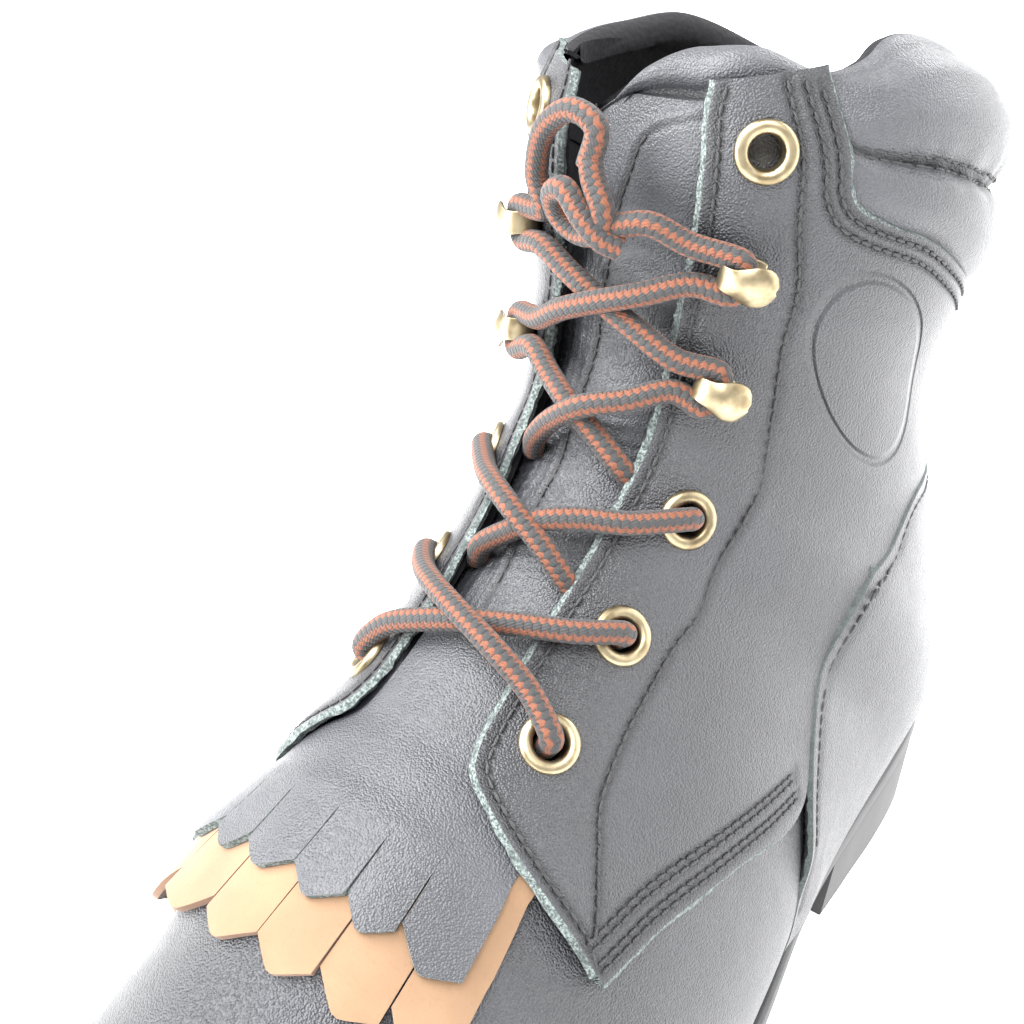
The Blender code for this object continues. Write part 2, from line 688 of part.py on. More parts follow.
def tube(name, route, sides=8):
    """A round bar as a mesh, for bars that are joined."""
    route = np.asarray(route, float)
    run = np.gradient(route, axis=0)
    run /= np.linalg.norm(run, axis=1, keepdims=True)
    across = np.cross(run, [0.3, -0.7, 0.65])
    across /= np.linalg.norm(across, axis=1, keepdims=True)
    up = np.cross(across, run)
    points, faces = [], []
    for i in range(len(route)):
        for k in range(sides):
            angle = 2 * math.pi * k / sides
            points.append(route[i] + LACE_RADIUS * (math.cos(angle) * across[i] + math.sin(angle) * up[i]))
    for i in range(len(route) - 1):
        for k in range(sides):
            a, b = i * sides, (i + 1) * sides
            n = (k + 1) % sides
            faces.append((a + k, a + n, b + n, b + k))
    faces += [tuple(range(sides))[::-1], tuple(range(len(points) - sides, len(points)))]
    return add_object(name, points, [face[::-1] for face in faces], "lace_cord")


def make_lace():
    """The crossed bars of the lace, each pair one solid, and its free ends as cords."""
    for name, start_x, start, start_lift, end_x, end, end_lift, upper_side in LACE_BARS[1:]:
        pair = []
        for sign in (1, -1):
            route = []
            for t in np.linspace(0, 1, 8):
                x = sign * (start_x + (-end_x - start_x) * t)
                lift = start_lift + (end_lift - start_lift) * smooth_step(0, 0.55, t)
                lift += 4 * t * (1 - t) * (LACE_CROSS * sign * upper_side + LACE_BOW)
                route.append(over_front(x, start + (end - start) * t, lift))
            pair.append(tube(name if sign > 0 else name + "_under", route))
        join = pair[0].modifiers.new("join", "BOOLEAN")
        join.operation = "UNION"
        join.object = pair[1]
        pair[1].hide_render = True
        pair[1].display_type = "WIRE"
    for name, places in LACE_ENDS.items():
        add_cord(name, smooth_route([over_front(*place) for place in places], 5 * len(places) // 2))


def main():
    for old in list(bpy.data.objects):
        bpy.data.objects.remove(old, do_unlink=True)
    make_sole()
    make_upper()
    make_tongue()
    make_quarter("quarter_lateral", 1)
    make_quarter("quarter_medial", -1)
    make_counter()
    make_collar()
    for row in KILTIES[1:]:
        make_kiltie(*row)
    make_fittings()
    make_lace()


main()
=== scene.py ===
# %% [markdown]
# # A left kiltie work boot
#
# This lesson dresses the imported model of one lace-up boot: black leather, a fringed flap in black and
# tan, brass eyelets and hooks, and a two-coloured round lace. The CAD solids give every place and size.
# Each step here makes one piece or one finish over them, and says why it is made that way.

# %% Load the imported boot
import math

import bpy
import numpy as np
from mathutils import Matrix, Vector
from mathutils.kdtree import KDTree


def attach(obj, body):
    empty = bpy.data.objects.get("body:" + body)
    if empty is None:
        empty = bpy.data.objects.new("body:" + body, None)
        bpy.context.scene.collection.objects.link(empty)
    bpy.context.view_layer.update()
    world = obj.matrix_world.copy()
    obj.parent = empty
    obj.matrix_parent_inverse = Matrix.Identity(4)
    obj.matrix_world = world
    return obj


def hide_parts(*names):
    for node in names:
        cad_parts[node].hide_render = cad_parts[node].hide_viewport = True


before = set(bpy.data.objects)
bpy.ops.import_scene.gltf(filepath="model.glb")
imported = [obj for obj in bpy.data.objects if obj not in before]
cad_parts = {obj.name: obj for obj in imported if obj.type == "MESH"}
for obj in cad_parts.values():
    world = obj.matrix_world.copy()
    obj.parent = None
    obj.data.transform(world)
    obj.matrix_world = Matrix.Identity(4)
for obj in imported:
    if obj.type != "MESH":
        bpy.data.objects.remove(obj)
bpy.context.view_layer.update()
MM = 0.001
BOX_CENTRE = np.array([2.847, -4.741, 0.0])

# %% [markdown]
# ## The camera
#
# The photograph was taken from in front of the boot's outer side, a little above it, tilted by a few
# degrees, and its lower edge cuts off the toe. The camera repeats that place, turn and lens. Its three
# axes are worked out from the angles, because that is easier to read than a turned object.

# %% Camera
CAMERA_PLACE = np.array([163.6, -188.2, 283.9])
CAMERA_AZIMUTH, CAMERA_ELEVATION, CAMERA_ROLL = 41.0, 30.7, -2.4
CAMERA_LENS = 56.25


def to_frame(points):
    """Millimetres on the last to metres in the CAD frame."""
    return (np.asarray(points, float) - BOX_CENTRE) * MM


def add_camera():
    azimuth, elevation, roll = np.radians([CAMERA_AZIMUTH, CAMERA_ELEVATION, CAMERA_ROLL])
    back = Vector((math.sin(azimuth) * math.cos(elevation), -math.cos(azimuth) * math.cos(elevation),
                   math.sin(elevation)))
    right = Vector((0, 0, 1)).cross(back).normalized()
    up = back.cross(right)
    turn, tilt = math.cos(roll), math.sin(roll)
    right, up = turn * right + tilt * up, turn * up - tilt * right
    bpy.ops.object.camera_add()
    camera = bpy.context.object
    camera.data.lens = CAMERA_LENS
    camera.matrix_world = Matrix((right, up, back)).transposed().to_4x4()
    camera.location = to_frame(CAMERA_PLACE)
    bpy.context.scene.camera = camera
    return camera


print("camera at", [round(v, 3) for v in add_camera().location])

# %% [markdown]
# ## The last
#
# A shoemaker pulls leather over a last, a solid foot. Here the last is a set of ribs, each a cubic curve
# from the sole or the back seam up to the front centre line. A place on it is a side, a station along the
# boot and a share of the rib, so every panel, seam and stitch can be laid on the same surface. The
# numbers repeat the CAD source's own driving values.

# %% The last's ribs
FEATHER = (("y", "z"), (-150, 21), (-125, 13), (-95, 9.5), (-40, 9.5), (0, 13), (40, 20), (75, 28),
           (150, 33))
SECTIONS = (
    ("name", "lat_x", "lat_y", "med_x", "med_y", "base_z", "lat_out", "med_out", "back", "up",
     "top_x", "top_y", "top_z", "lat_top", "med_top", "forward", "down"),
    ("toe_tip", -4, -147, -4, -147, None, 0, 0, -9, 23, -2, -98, 64, 0, 0, 27, 3),
    ("toe_front", 14, -144, -20, -142, None, 3, -3, -8, 23, -2, -98, 64, 13, -13, 23, 3),
    ("toe_corner", 29, -133, -34, -126, None, 6, -5, -5, 24, -2, -98, 64, 22, -21, 14, 3),
    ("toe_side", 39, -116, -41, -105, None, 8, -7, -3, 26, -2, -97, 64.5, 27, -26, 6, 2),
    ("joint", 46, -93, -44, -83, None, 10, -8, -1, 29, -2, -85, 72, 31, -30, 0, 0),
    ("ball", 50, -64, -44.5, -57, None, 12, -8, 0, 33, -1, -65, 84.5, 33, -33, 0, 0),
    ("vamp", 51, -34, -41, -32, None, 14, -9, 0, 38, 0, -45.5, 96, 34, -36, 0, 0),
    ("throat", 48.5, -4, -35.5, -4, None, 15, -10, 0, 44, 0, -29, 105.5, 34, -38, 0, 0),
    ("instep", 43, 26, -30, 26, None, 15, -12, 4, 50, 0, -14.5, 114.2, 35, -40, 0, 0),
    ("waist", 36.5, 54, -29, 56, None, 11.5, -11, 8, 55, 0, -4.5, 120.5, 36.5, -42.5, 0, 0),
    ("breast", 32.5, 82, -30.5, 84, None, 11, -10.5, -3, 40, 0, 3.5, 126.5, 38.5, -44.5, 0, 0),
    ("heel_side", 30, 104, -29.5, 104, None, 14.5, -14.5, -22, 24, 0, 9.5, 131.7, 39.5, -46.5, 0, 0),
    ("heel_round", 24.5, 126, -24.5, 126, None, 24.5, -24.5, -36, 14, 0, 14.5, 136.4, 40.5, -48.5, 0, 0),
    ("heel_back", 0, 139.5, 0, 139.5, None, 58, -58, -17, 27, 0, 18.7, 141.5, 41.5, -49.5, 0, 0),
    ("counter", 0, 135.5, 0, 135.5, 55, 50, -50, 0, 0, 0, 23.8, 148.3, 42.5, -50.5, 0, 0),
    ("achilles", 0, 127.5, 0, 127.5, 88, 46, -46, 0, 0, 0, 28.2, 157, 44.5, -50.5, 0, 0),
    ("ankle", 0, 119, 0, 119, 118, 45, -45, 0, 0, 0, 31.5, 167.8, 46.5, -50.5, 0, 0),
    ("collar_low", 0, 118, 0, 118, 148, 58, -58, 0, 0, 0, 33.8, 181, 51, -53, 0, 0),
    ("collar_mid", 0, 120, 0, 120, 168, 59, -59, 0, 8, 0, 35, 194, 52, -53, 0, 0),
    ("rim", 0, 115, 0, 115, 184, 46, -46, 0, 20, 0, 38.5, 206, 42, -43, 0, -2),
)
HEEL_BACK, COLLAR_LOW, LAST_STATION = 13, 17, 19
BACK_EASE = 0.07
SIDES = ((1, "lateral"), (-1, "medial"))
print("ribs:", len(SECTIONS) - 1)

# %% [markdown]
# ### Reading the tables
#
# A table has a row of names and then few rows of numbers, so values between the rows come from a curve. A
# plain spline would swing past its rows and dent the leather. A monotone one never does, so it is used here.

# %% Smooth tables
def column(table, name):
    index = table[0].index(name)
    return np.array([np.nan if row[index] is None else row[index] for row in table[1:]], float)


def monotone(knots, values, at):
    """Smooth interpolation that never overshoots its rows, straight on past both ends."""
    knots, values, at = (np.asarray(part, float) for part in (knots, values, at))
    past = at - np.clip(at, knots[0], knots[-1])
    at = at - past
    step = np.diff(knots)
    rise = np.diff(values) / step
    before, after = rise[:-1], rise[1:]
    weigh_before, weigh_after = 2 * step[1:] + step[:-1], step[1:] + 2 * step[:-1]
    same = before * after > 0
    spread = weigh_before / np.where(same, before, 1) + weigh_after / np.where(same, after, 1)
    inner = np.where(same, (weigh_before + weigh_after) / np.where(same, spread, 1), 0)
    slope = np.concatenate([rise[:1], inner, rise[-1:]])
    i = np.clip(np.searchsorted(knots, at, side="right") - 1, 0, len(step) - 1)
    t = (at - knots[i]) / step[i]
    rising = step[i] * (slope[i] * t * (1 - t) ** 2 + slope[i + 1] * t * t * (t - 1))
    rising = rising + past * np.where(past > 0, slope[-1], slope[0])
    return values[i] * (1 + 2 * t) * (1 - t) ** 2 + values[i + 1] * t * t * (3 - 2 * t) + rising


def along(table, at):
    """A table's other columns, read at places of its first one."""
    first, *others = table[0]
    read = [monotone(column(table, first), column(table, name), at) for name in others]
    return read if len(read) > 1 else read[0]


def smooth_step(low, high, at):
    t = np.clip((np.asarray(at, float) - low) / (high - low), 0, 1)
    return t * t * (3 - 2 * t)


def unit(vectors):
    """The same directions at length one."""
    return vectors / np.maximum(np.linalg.norm(vectors, axis=-1, keepdims=True), 1e-12)


def reach_along(points):
    """How far along a line of points each of them is."""
    return np.concatenate([[0], np.cumsum(np.linalg.norm(np.diff(points, axis=0), axis=1))])


print("feather line at the toe, mm:", round(float(along(FEATHER, -147)), 1))

# %% [markdown]
# ### The surface
#
# Values between the ribs are read from fine tables, and a short blur takes the last kinks out of the leather.
# `surface` gives a point, `lifted` a point over it, and `over_front` finds a point over the boot's front from
# its distance off the centre line, as lace, tongue and fringe need.

# %% Surface of the last
FINE = np.arange(-2, LAST_STATION + 2.01, 0.02)
BLUR = np.exp(-np.linspace(-2, 2, 45) ** 2)
CUT = len(BLUR) // 2
ROW_NUMBERS = np.arange(LAST_STATION + 1)
BLURRED = {
    name: np.convolve(monotone(ROW_NUMBERS, column(SECTIONS, name), FINE), BLUR / BLUR.sum(), "valid")
    for name in SECTIONS[0] if name not in ("name", "base_z")
}
HEIGHT = column(SECTIONS, "base_z")
HEIGHT = np.where(np.isnan(HEIGHT), along(FEATHER, column(SECTIONS, "lat_y")), HEIGHT)
BACK_SEAM = {"y": monotone(ROW_NUMBERS, column(SECTIONS, "lat_y"), FINE),
             "z": monotone(ROW_NUMBERS, HEIGHT, FINE)}


def section(name, station):
    return np.interp(station, FINE[CUT:-CUT], BLURRED[name])


def feather_table(side):
    """The feather line of one side in plan. The other side's rows lead in and out, so both ends are round."""
    own, other = ("lat", "med") if side > 0 else ("med", "lat")
    line = []
    for axis in ("_x", "_y"):
        rows, beyond = column(SECTIONS, own + axis), column(SECTIONS, other + axis)
        values = [beyond[1], *rows[: HEEL_BACK + 1], beyond[HEEL_BACK - 1]]
        line.append(monotone(np.arange(-1, HEEL_BACK + 2), values, FINE))
    return line


FEATHER_LINES = {side: feather_table(side) for side, _ in SIDES}


def feather(side, station):
    """The seam between upper and sole in plan."""
    return np.stack([np.interp(station, FINE, line) for line in FEATHER_LINES[side]], -1)


def surface(side, station, share):
    """A point of the last, in millimetres."""
    station, share = np.broadcast_arrays(np.asarray(station, float), np.asarray(share, float))
    key = "lat" if side > 0 else "med"
    foot = feather(side, np.minimum(station, HEEL_BACK))
    foot = np.concatenate([foot, along(FEATHER, foot[..., 1])[..., None]], -1)
    seam_y, seam_z = (np.interp(station, FINE, BACK_SEAM[axis]) for axis in "yz")
    seam = np.stack([np.zeros(station.shape), seam_y, seam_z], -1)
    base = np.where((station <= HEEL_BACK)[..., None], foot, seam)
    up = section("up", station) * np.where(station > COLLAR_LOW, share / (share + BACK_EASE), 1)
    out = np.stack([section(key + "_out", station), section("back", station), up], -1)
    top = np.stack([section("top_" + axis, station) for axis in "xyz"], -1)
    reach = np.stack(
        [section(key + "_top", station), -section("forward", station), -section("down", station)], -1)
    u = share[..., None]
    ends = (1 - u) ** 3 * base + u**3 * top
    return ends + 3 * (1 - u) ** 2 * u * (base + out) + 3 * (1 - u) * u * u * (top + reach)


def slopes(side, station, share, step=1e-3):
    """How a point moves for one station and for one whole rib."""
    station, share = np.clip(station, 0, LAST_STATION), np.clip(share, 0, 1)
    later, sooner = np.clip(station + step, 0, LAST_STATION), np.clip(station - step, 0, LAST_STATION)
    higher, lower = np.clip(share + step, 0, 1), np.clip(share - step, 0, 1)
    run = (surface(side, later, share) - surface(side, sooner, share)) / (later - sooner)[..., None]
    climb = (surface(side, station, higher) - surface(side, station, lower)) / (higher - lower)[..., None]
    return run, climb


def outward(side, run, climb):
    """The way out of the surface, from its two slopes."""
    return unit(np.cross(run, climb) * side)


def lifted(side, station, share, lift):
    """A point over the surface. Points over the back seam and the front centre line stay in the middle."""
    station, share = np.broadcast_arrays(np.asarray(station, float), np.asarray(share, float))
    points = surface(side, station, share)
    raised = points + np.asarray(lift, float)[..., None] * outward(side, *slopes(side, station, share))
    middle = (share >= 1) | ((share <= 0) & (station >= HEEL_BACK))
    raised[..., 0] = np.where(middle, points[..., 0], raised[..., 0])
    return raised


FRONT_SHARE, HALVINGS = 0.4, 26


def over_front(across, station, lift):
    """Points over the front of the boot, from their distance off the centre line."""
    across, station, lift = np.broadcast_arrays(
        *(np.asarray(part, float) for part in (across, station, lift)))
    low, high = np.full(across.shape, FRONT_SHARE), np.ones(across.shape)
    centre = section("top_x", station)
    for _ in range(HALVINGS):
        middle = (low + high) / 2
        x = np.where(across >= 0, surface(1, station, middle)[..., 0], surface(-1, station, middle)[..., 0])
        outside = np.abs(x - centre) > np.abs(across)
        low, high = np.where(outside, middle, low), np.where(outside, high, middle)
    share = (low + high) / 2
    lateral, medial = (lifted(side, station, share, lift) for side in (1, -1))
    return np.where((across >= 0)[..., None], lateral, medial)


print("boot length on the last, mm:", round(float(surface(1, HEEL_BACK, 0)[1] - surface(1, 0, 0)[1]), 1))

# %% [markdown]
# ## Finishes as expressions
#
# A finish is a small network of shader nodes. Clicking nodes together is fine for one material, but fifteen
# of them are easier to read as sums. A `Wire` stands for a node's output, so that `1 - mask` adds the Math
# node by itself. A `Finish` makes every other node through one method.

# %% Wires and finishes
class Wire:
    """One output of a shader node, with arithmetic."""

    def __init__(self, tree, socket):
        self.tree, self.socket = tree, socket

    def math(self, operation, first, second=None):
        node = self.tree.nodes.new("ShaderNodeMath")
        node.operation = operation
        for socket, part in zip(node.inputs, (first, second)):
            connect(self.tree, socket, part)
        return Wire(self.tree, node.outputs[0])

    def __add__(self, other):
        return self.math("ADD", self, other)

    def __mul__(self, other):
        return self.math("MULTIPLY", self, other)

    def __sub__(self, other):
        return self.math("SUBTRACT", self, other)

    def __rsub__(self, other):
        return self.math("SUBTRACT", other, self)

    def __truediv__(self, other):
        return self.math("DIVIDE", self, other)

    def __pow__(self, other):
        return self.math("POWER", self, other)

    __radd__, __rmul__ = __add__, __mul__


def connect(tree, socket, value):
    """Links a wire, or sets a plain number or colour."""
    if isinstance(value, Wire):
        tree.links.new(value.socket, socket)
    elif value is not None:
        socket.default_value = (*value, 1) if isinstance(value, tuple) else value


# A Mix node has sockets for numbers, vectors and colours under the same names, so its colours go by place.
MIX_FACTOR, MIX_LOW, MIX_HIGH, MIX_RESULT = 0, 6, 7, 2


class Finish:
    """A material made around one Principled shader."""

    def __init__(self, name):
        self.material = bpy.data.materials.new(name)
        self.material.use_nodes = True
        self.tree = self.material.node_tree
        self.shader = self.tree.nodes["Principled BSDF"]

    def node(self, kind, settings=None, sockets=None, output=0):
        made = self.tree.nodes.new("ShaderNode" + kind)
        for name, value in (settings or {}).items():
            setattr(made, name, value)
        for name, value in (sockets or {}).items():
            connect(self.tree, made.inputs[name], value)
        return Wire(self.tree, made.outputs[output])

    def place(self):
        return self.node("TexCoord", output="Object")

    def noise(self, scale, detail=2.0, roughness=0.5):
        return self.node("TexNoise", None, {"Vector": self.place(), "Scale": scale, "Detail": detail,
                                            "Roughness": roughness})

    def cells(self, scale):
        return self.node("TexVoronoi", {"feature": "F1"}, {"Vector": self.place(), "Scale": scale})

    def attribute(self, name):
        return self.node("Attribute", {"attribute_name": name}, output="Fac")

    def steps(self, value, low, high):
        """Nought below low, one above high."""
        return self.node("MapRange", {"interpolation_type": "SMOOTHSTEP"},
                         {"Value": value, "From Min": low, "From Max": high})

    def mix(self, mask, low, high):
        """One colour where the mask is nought, the other where it is one."""
        sockets = {MIX_FACTOR: mask, MIX_LOW: low, MIX_HIGH: high}
        return self.node("Mix", {"data_type": "RGBA"}, sockets, MIX_RESULT)

    def bump(self, height, depth, strength=1.0):
        """A relief of this depth in millimetres."""
        return self.node("Bump", None, {"Height": height, "Distance": depth * MM, "Strength": strength})

    def set(self, **sockets):
        """Feeds the shader's own sockets; an underscore stands for a space in a socket's name."""
        for name, value in sockets.items():
            connect(self.tree, self.shader.inputs[name.replace("_", " ")], value)
        return self.material


def shade(colour, by):
    return tuple(by * part for part in colour)


print("sums that add Math nodes: + - * / **")

# %% [markdown]
# ## Leather
#
# The boot's black leather has a fine pebbled grain, less than half a millimetre across, and an even soft
# gloss. Small Voronoi cells make the pebbles, and broader noises vary tint and gloss. Where a seam pulls the
# leather down, the mesh carries a `seam` value, which darkens the furrow as painted shade. The ankle has a
# plain oval line pressed into it, which is part of the same relief. Cut edges show grey-green fibres.

# %% Leather finishes
OVAL_CENTRE, OVAL_UP, OVAL_ALONG = (35.8, 65.3, 148.4), (1.45, -6.2, 22.1), (1.8, 15.5, -5.6)
OVAL_DEPTH = 4.0
BLACK = (0.0165, 0.0172, 0.0205)
FIBRE_DARK, FIBRE_LIGHT, FIBRE_BLOTCH = (0.03, 0.038, 0.037), (0.19, 0.225, 0.215), (0.03, 0.038, 0.038)


def leather_finish(name, colour, pebble, depth, roughness, oval=False):
    finish = Finish(name)
    grain = 1 - finish.cells(1 / (pebble * MM))
    fine = finish.noise(3200, detail=3)
    broad = finish.noise(38, detail=3)
    patch = finish.noise(170, detail=2)
    seam = finish.attribute("seam")
    worn = finish.steps(broad, 0.35, 0.7)
    tint = finish.mix(worn, colour, shade(colour, 1.4))
    # Painted shade: the seam value darkens the leather in each stitched furrow.
    tint = finish.mix(seam * 0.75, tint, shade(colour, 0.25))
    relief = grain + fine * 0.35 + patch * 0.15
    if oval:
        relief = relief - OVAL_DEPTH * oval_press(finish)
    return finish.set(
        Base_Color=tint,
        Roughness=roughness + 0.1 * broad - 0.12 * grain + 0.1 * patch + 0.15 * seam,
        Normal=finish.bump(relief, depth),
    )


def oval_press(finish):
    """A plain oval line pressed into the ankle, one where it is deepest."""
    spot = finish.place()
    off = [finish.node("SeparateXYZ", None, {"Vector": spot}, axis) - float(middle)
           for axis, middle in zip("XYZ", to_frame(OVAL_CENTRE))]
    spans = []
    for scale in np.linalg.pinv(np.array([OVAL_UP, OVAL_ALONG]).T) / MM:
        spans.append(sum(part * float(by) for part, by in zip(off, scale)))
    radius = (spans[0] * spans[0] + spans[1] * spans[1]) ** 0.5
    gap = radius.math("ABSOLUTE", radius - 1)
    return 1 - finish.steps(gap, 0.01, 0.075)


def raw_edge_finish(name, light):
    finish = Finish(name)
    fibre = finish.noise(1900, detail=4, roughness=0.7)
    blotch = finish.noise(420, detail=2)
    tint = finish.mix(finish.steps(fibre, 0.38, 0.66), FIBRE_DARK, shade(FIBRE_LIGHT, light))
    tint = finish.mix(finish.steps(blotch, 0.5, 0.68) * 0.6, tint, FIBRE_BLOTCH)
    return finish.set(Base_Color=tint, Roughness=0.9, Normal=finish.bump(fibre, 0.35, 0.9))


LEATHER, PRESSED = (leather_finish(name, BLACK, 0.44, 0.25, 0.33, name == "oval_leather")
                    for name in ("black_leather", "oval_leather"))
SOFT_LEATHER = leather_finish("soft_leather", (0.032, 0.0335, 0.038), 0.42, 0.19, 0.36)
WELT_LEATHER = leather_finish("welt_leather", (0.008, 0.008, 0.009), 0.5, 0.12, 0.75)
# The second, darker copy of the raw edge finish is painted shade, for the counter's edge.
RAW_EDGE, SHADED_EDGE = raw_edge_finish("raw_edge", 1.0), raw_edge_finish("shaded_edge", 0.35)
print("leather finishes:", [finish.name for finish in (LEATHER, PRESSED, SOFT_LEATHER, WELT_LEATHER)])

# %% [markdown]
# ## Lining, nubuck, thread, rubber, brass and board
#
# The other materials are simpler: each is one or two noises that mix two close tints and a shallow relief.
# The lining has a nap, the tan nubuck a cloudy tint, the thread a twist, the rubber a little dust, the brass
# some tarnish and the insole board a weave. Image textures would do too, but these need no file.

# %% Other finishes
def lining_finish():
    finish = Finish("lining")
    nap = finish.noise(900, detail=4, roughness=0.7)
    loops = finish.cells(650)
    tint = finish.mix(nap, (0.004, 0.004, 0.005), (0.022, 0.022, 0.024))
    return finish.set(Base_Color=tint, Roughness=0.95, Normal=finish.bump(nap + loops, 0.25, 0.8),
                      Specular_IOR_Level=0.2)


def nubuck_finish(name, colour):
    finish = Finish(name)
    nap = finish.noise(1500, detail=4, roughness=0.65)
    cloud = finish.noise(70, detail=3)
    tint = finish.mix(finish.steps(cloud, 0.3, 0.7), shade(colour, 0.82), colour)
    tint = finish.mix(finish.steps(nap, 0.52, 0.75) * 0.35, tint, shade(colour, 0.62))
    return finish.set(Base_Color=tint, Roughness=0.88, Normal=finish.bump(nap, 0.12, 0.6), Sheen_Weight=0.15)


def thread_finish():
    finish = Finish("thread")
    twist = finish.node("TexWave", {"wave_type": "BANDS", "bands_direction": "DIAGONAL"},
                        {"Vector": finish.place(), "Scale": 900.0})
    tint = finish.mix(twist, (0.004, 0.004, 0.005), (0.03, 0.03, 0.033))
    return finish.set(Base_Color=tint, Roughness=0.6, Normal=finish.bump(twist, 0.08, 0.6))


def rubber_finish():
    finish = Finish("rubber")
    grain = finish.noise(1400, detail=3)
    dust = finish.noise(120, detail=4)
    tint = finish.mix(finish.steps(dust, 0.4, 0.75), (0.034, 0.034, 0.035), (0.042, 0.042, 0.043))
    return finish.set(Base_Color=tint, Roughness=0.5 + 0.08 * dust, Normal=finish.bump(grain, 0.08, 0.5))


def brass_finish():
    finish = Finish("brass")
    brushed = finish.noise(700, detail=4, roughness=0.7)
    tarnish = finish.noise(260, detail=3)
    tint = finish.mix(finish.steps(tarnish, 0.4, 0.72), (0.33, 0.275, 0.175), (0.16, 0.125, 0.072))
    return finish.set(Base_Color=tint, Metallic=1.0, Roughness=0.27 + 0.2 * brushed,
                      Normal=finish.bump(brushed, 0.03, 0.35))


def board_finish():
    finish = Finish("insole_board")
    weave = finish.cells(900)
    tint = finish.mix(weave, (0.012, 0.012, 0.013), (0.04, 0.04, 0.042))
    return finish.set(Base_Color=tint, Roughness=0.92, Normal=finish.bump(weave, 0.2, 0.7))


LINING, THREAD = lining_finish(), thread_finish()
TAN = nubuck_finish("tan_nubuck", (0.205, 0.121, 0.066))
TAN_EDGE = nubuck_finish("tan_edge", (0.17, 0.085, 0.042))
RUBBER, BRASS, BOARD = rubber_finish(), brass_finish(), board_finish()
print("finishes:", len([m for m in bpy.data.materials if m.use_nodes]))

# %% [markdown]
# ## The lace's braid
#
# The lace is a round braid of rust and charcoal yarns. Both colours run along it in bands whose edges zigzag
# where one yarn passes over the next. The tube's own UV map has turns round the lace in U and millimetres
# along it in V, so the pattern follows every bend.

# %% Braid finish
BRAID_BANDS, BRAID_PITCH = 5, 1.5


def lace_finish():
    finish = Finish("lace_braid")
    split = finish.node("UVMap", {"uv_map": "UVMap"})
    around = finish.node("SeparateXYZ", None, {"Vector": split}, "X")
    length = finish.node("SeparateXYZ", None, {"Vector": split}, "Y")
    beat = length / BRAID_PITCH
    tooth = beat.math("PINGPONG", beat, 0.5)
    band = around * BRAID_BANDS + tooth * 0.5
    phase = band.math("FRACT", band)
    rust = finish.steps(phase, 0.03, 0.07) * (1 - finish.steps(phase, 0.47, 0.52))
    lobe = beat.math("FRACT", beat + rust * 0.5)
    crown = lobe * (1 - lobe) * 4
    fuzz = finish.noise(2200, detail=3, roughness=0.7)
    strand = band.math("SINE", around * 150 + length * 5)
    dark = finish.mix(fuzz, (0.01, 0.01, 0.011), (0.036, 0.036, 0.037))
    warm = finish.mix(fuzz, (0.08, 0.022, 0.009), (0.19, 0.057, 0.022))
    tint = finish.mix(rust, dark, warm)
    # Painted shade: the yarns darken where one lobe of the braid meets the next.
    tint = finish.mix((1 - crown) * 0.55, tint, (0.012, 0.009, 0.008))
    relief = crown ** 0.5 + strand * 0.12 + fuzz * 0.25
    return finish.set(Base_Color=tint, Roughness=0.8, Sheen_Weight=0.08,
                      Normal=finish.bump(relief, 0.32, 0.9))


LACE = lace_finish()
print("braid bands:", BRAID_BANDS)

# %% [markdown]
# ## Laying a sheet on the last
#
# Most pieces are sheets of leather. By hand you would add a grid, push its points onto the last and give it
# a wall with Solidify. `lay_grid` does that: it adds Blender's own grid at the wanted fineness and lays row
# by row on the places it is given. Pieces are then joined, walled and dressed by operators.

# %% Sheet helpers
def pick(*pieces):
    """Selects these pieces alone, the first of them active."""
    bpy.ops.object.select_all(action="DESELECT")
    for piece in pieces:
        piece.select_set(True)
    bpy.context.view_layer.objects.active = pieces[0]


def lay_grid(name, places, flip=False, values=None):
    """A primitive grid laid on rows and columns of places in millimetres."""
    rows, columns = places.shape[:2]
    bpy.ops.object.select_all(action="DESELECT")
    bpy.ops.mesh.primitive_grid_add(x_subdivisions=columns - 1, y_subdivisions=rows - 1, size=1)
    piece = bpy.context.object
    piece.name = piece.data.name = name
    piece.data.vertices.foreach_set("co", to_frame(places).astype(np.float32).ravel())
    for label, field in (values or {}).items():
        made = piece.data.attributes.new(label, "FLOAT", "POINT")
        made.data.foreach_set("value", np.broadcast_to(field, (rows, columns)).astype(np.float32).ravel())
    if flip:
        edit(piece, bpy.ops.mesh.flip_normals)
    return piece


def edit(piece, work):
    """Runs edit-mode work on all of one piece."""
    pick(piece)
    bpy.ops.object.mode_set(mode="EDIT")
    bpy.ops.mesh.select_all(action="SELECT")
    work()
    bpy.ops.object.mode_set(mode="OBJECT")


def join(pieces, merge=0.01):
    """One piece from several, with points that meet made one."""
    pick(*pieces)
    if len(pieces) > 1:
        bpy.ops.object.join()
    edit(pieces[0], lambda: bpy.ops.mesh.remove_doubles(threshold=merge * MM))
    return pieces[0]


def modify(piece, kind, **settings):
    """Adds a modifier with these settings and applies it."""
    pick(piece)
    made = piece.modifiers.new(kind.lower(), kind)
    for name, value in settings.items():
        setattr(made, name, value)
    bpy.ops.object.modifier_apply(modifier=made.name)
    return piece


def wall(piece, thickness, outward=False, inner=0, rim=0):
    """A wall of this thickness in millimetres, with slots for its inner face and its cut rim."""
    return modify(piece, "SOLIDIFY", thickness=thickness * MM, offset=1 if outward else -1,
                  material_offset=inner, material_offset_rim=rim)


def dress(piece, slot, *nodes, angle=40):
    """Smooth shading, the body it rides on and the CAD nodes it stands for. The slot is not used."""
    pick(piece)
    bpy.ops.object.shade_smooth_by_angle(angle=math.radians(angle))
    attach(piece, "root")
    if nodes:
        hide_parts(*nodes)
    faces = sum(len(face.vertices) - 2 for face in piece.data.polygons)
    print(f"{piece.name}: {faces} triangles")
    return piece


def paint(piece, *materials):
    for material in materials:
        piece.data.materials.append(material)
    return piece


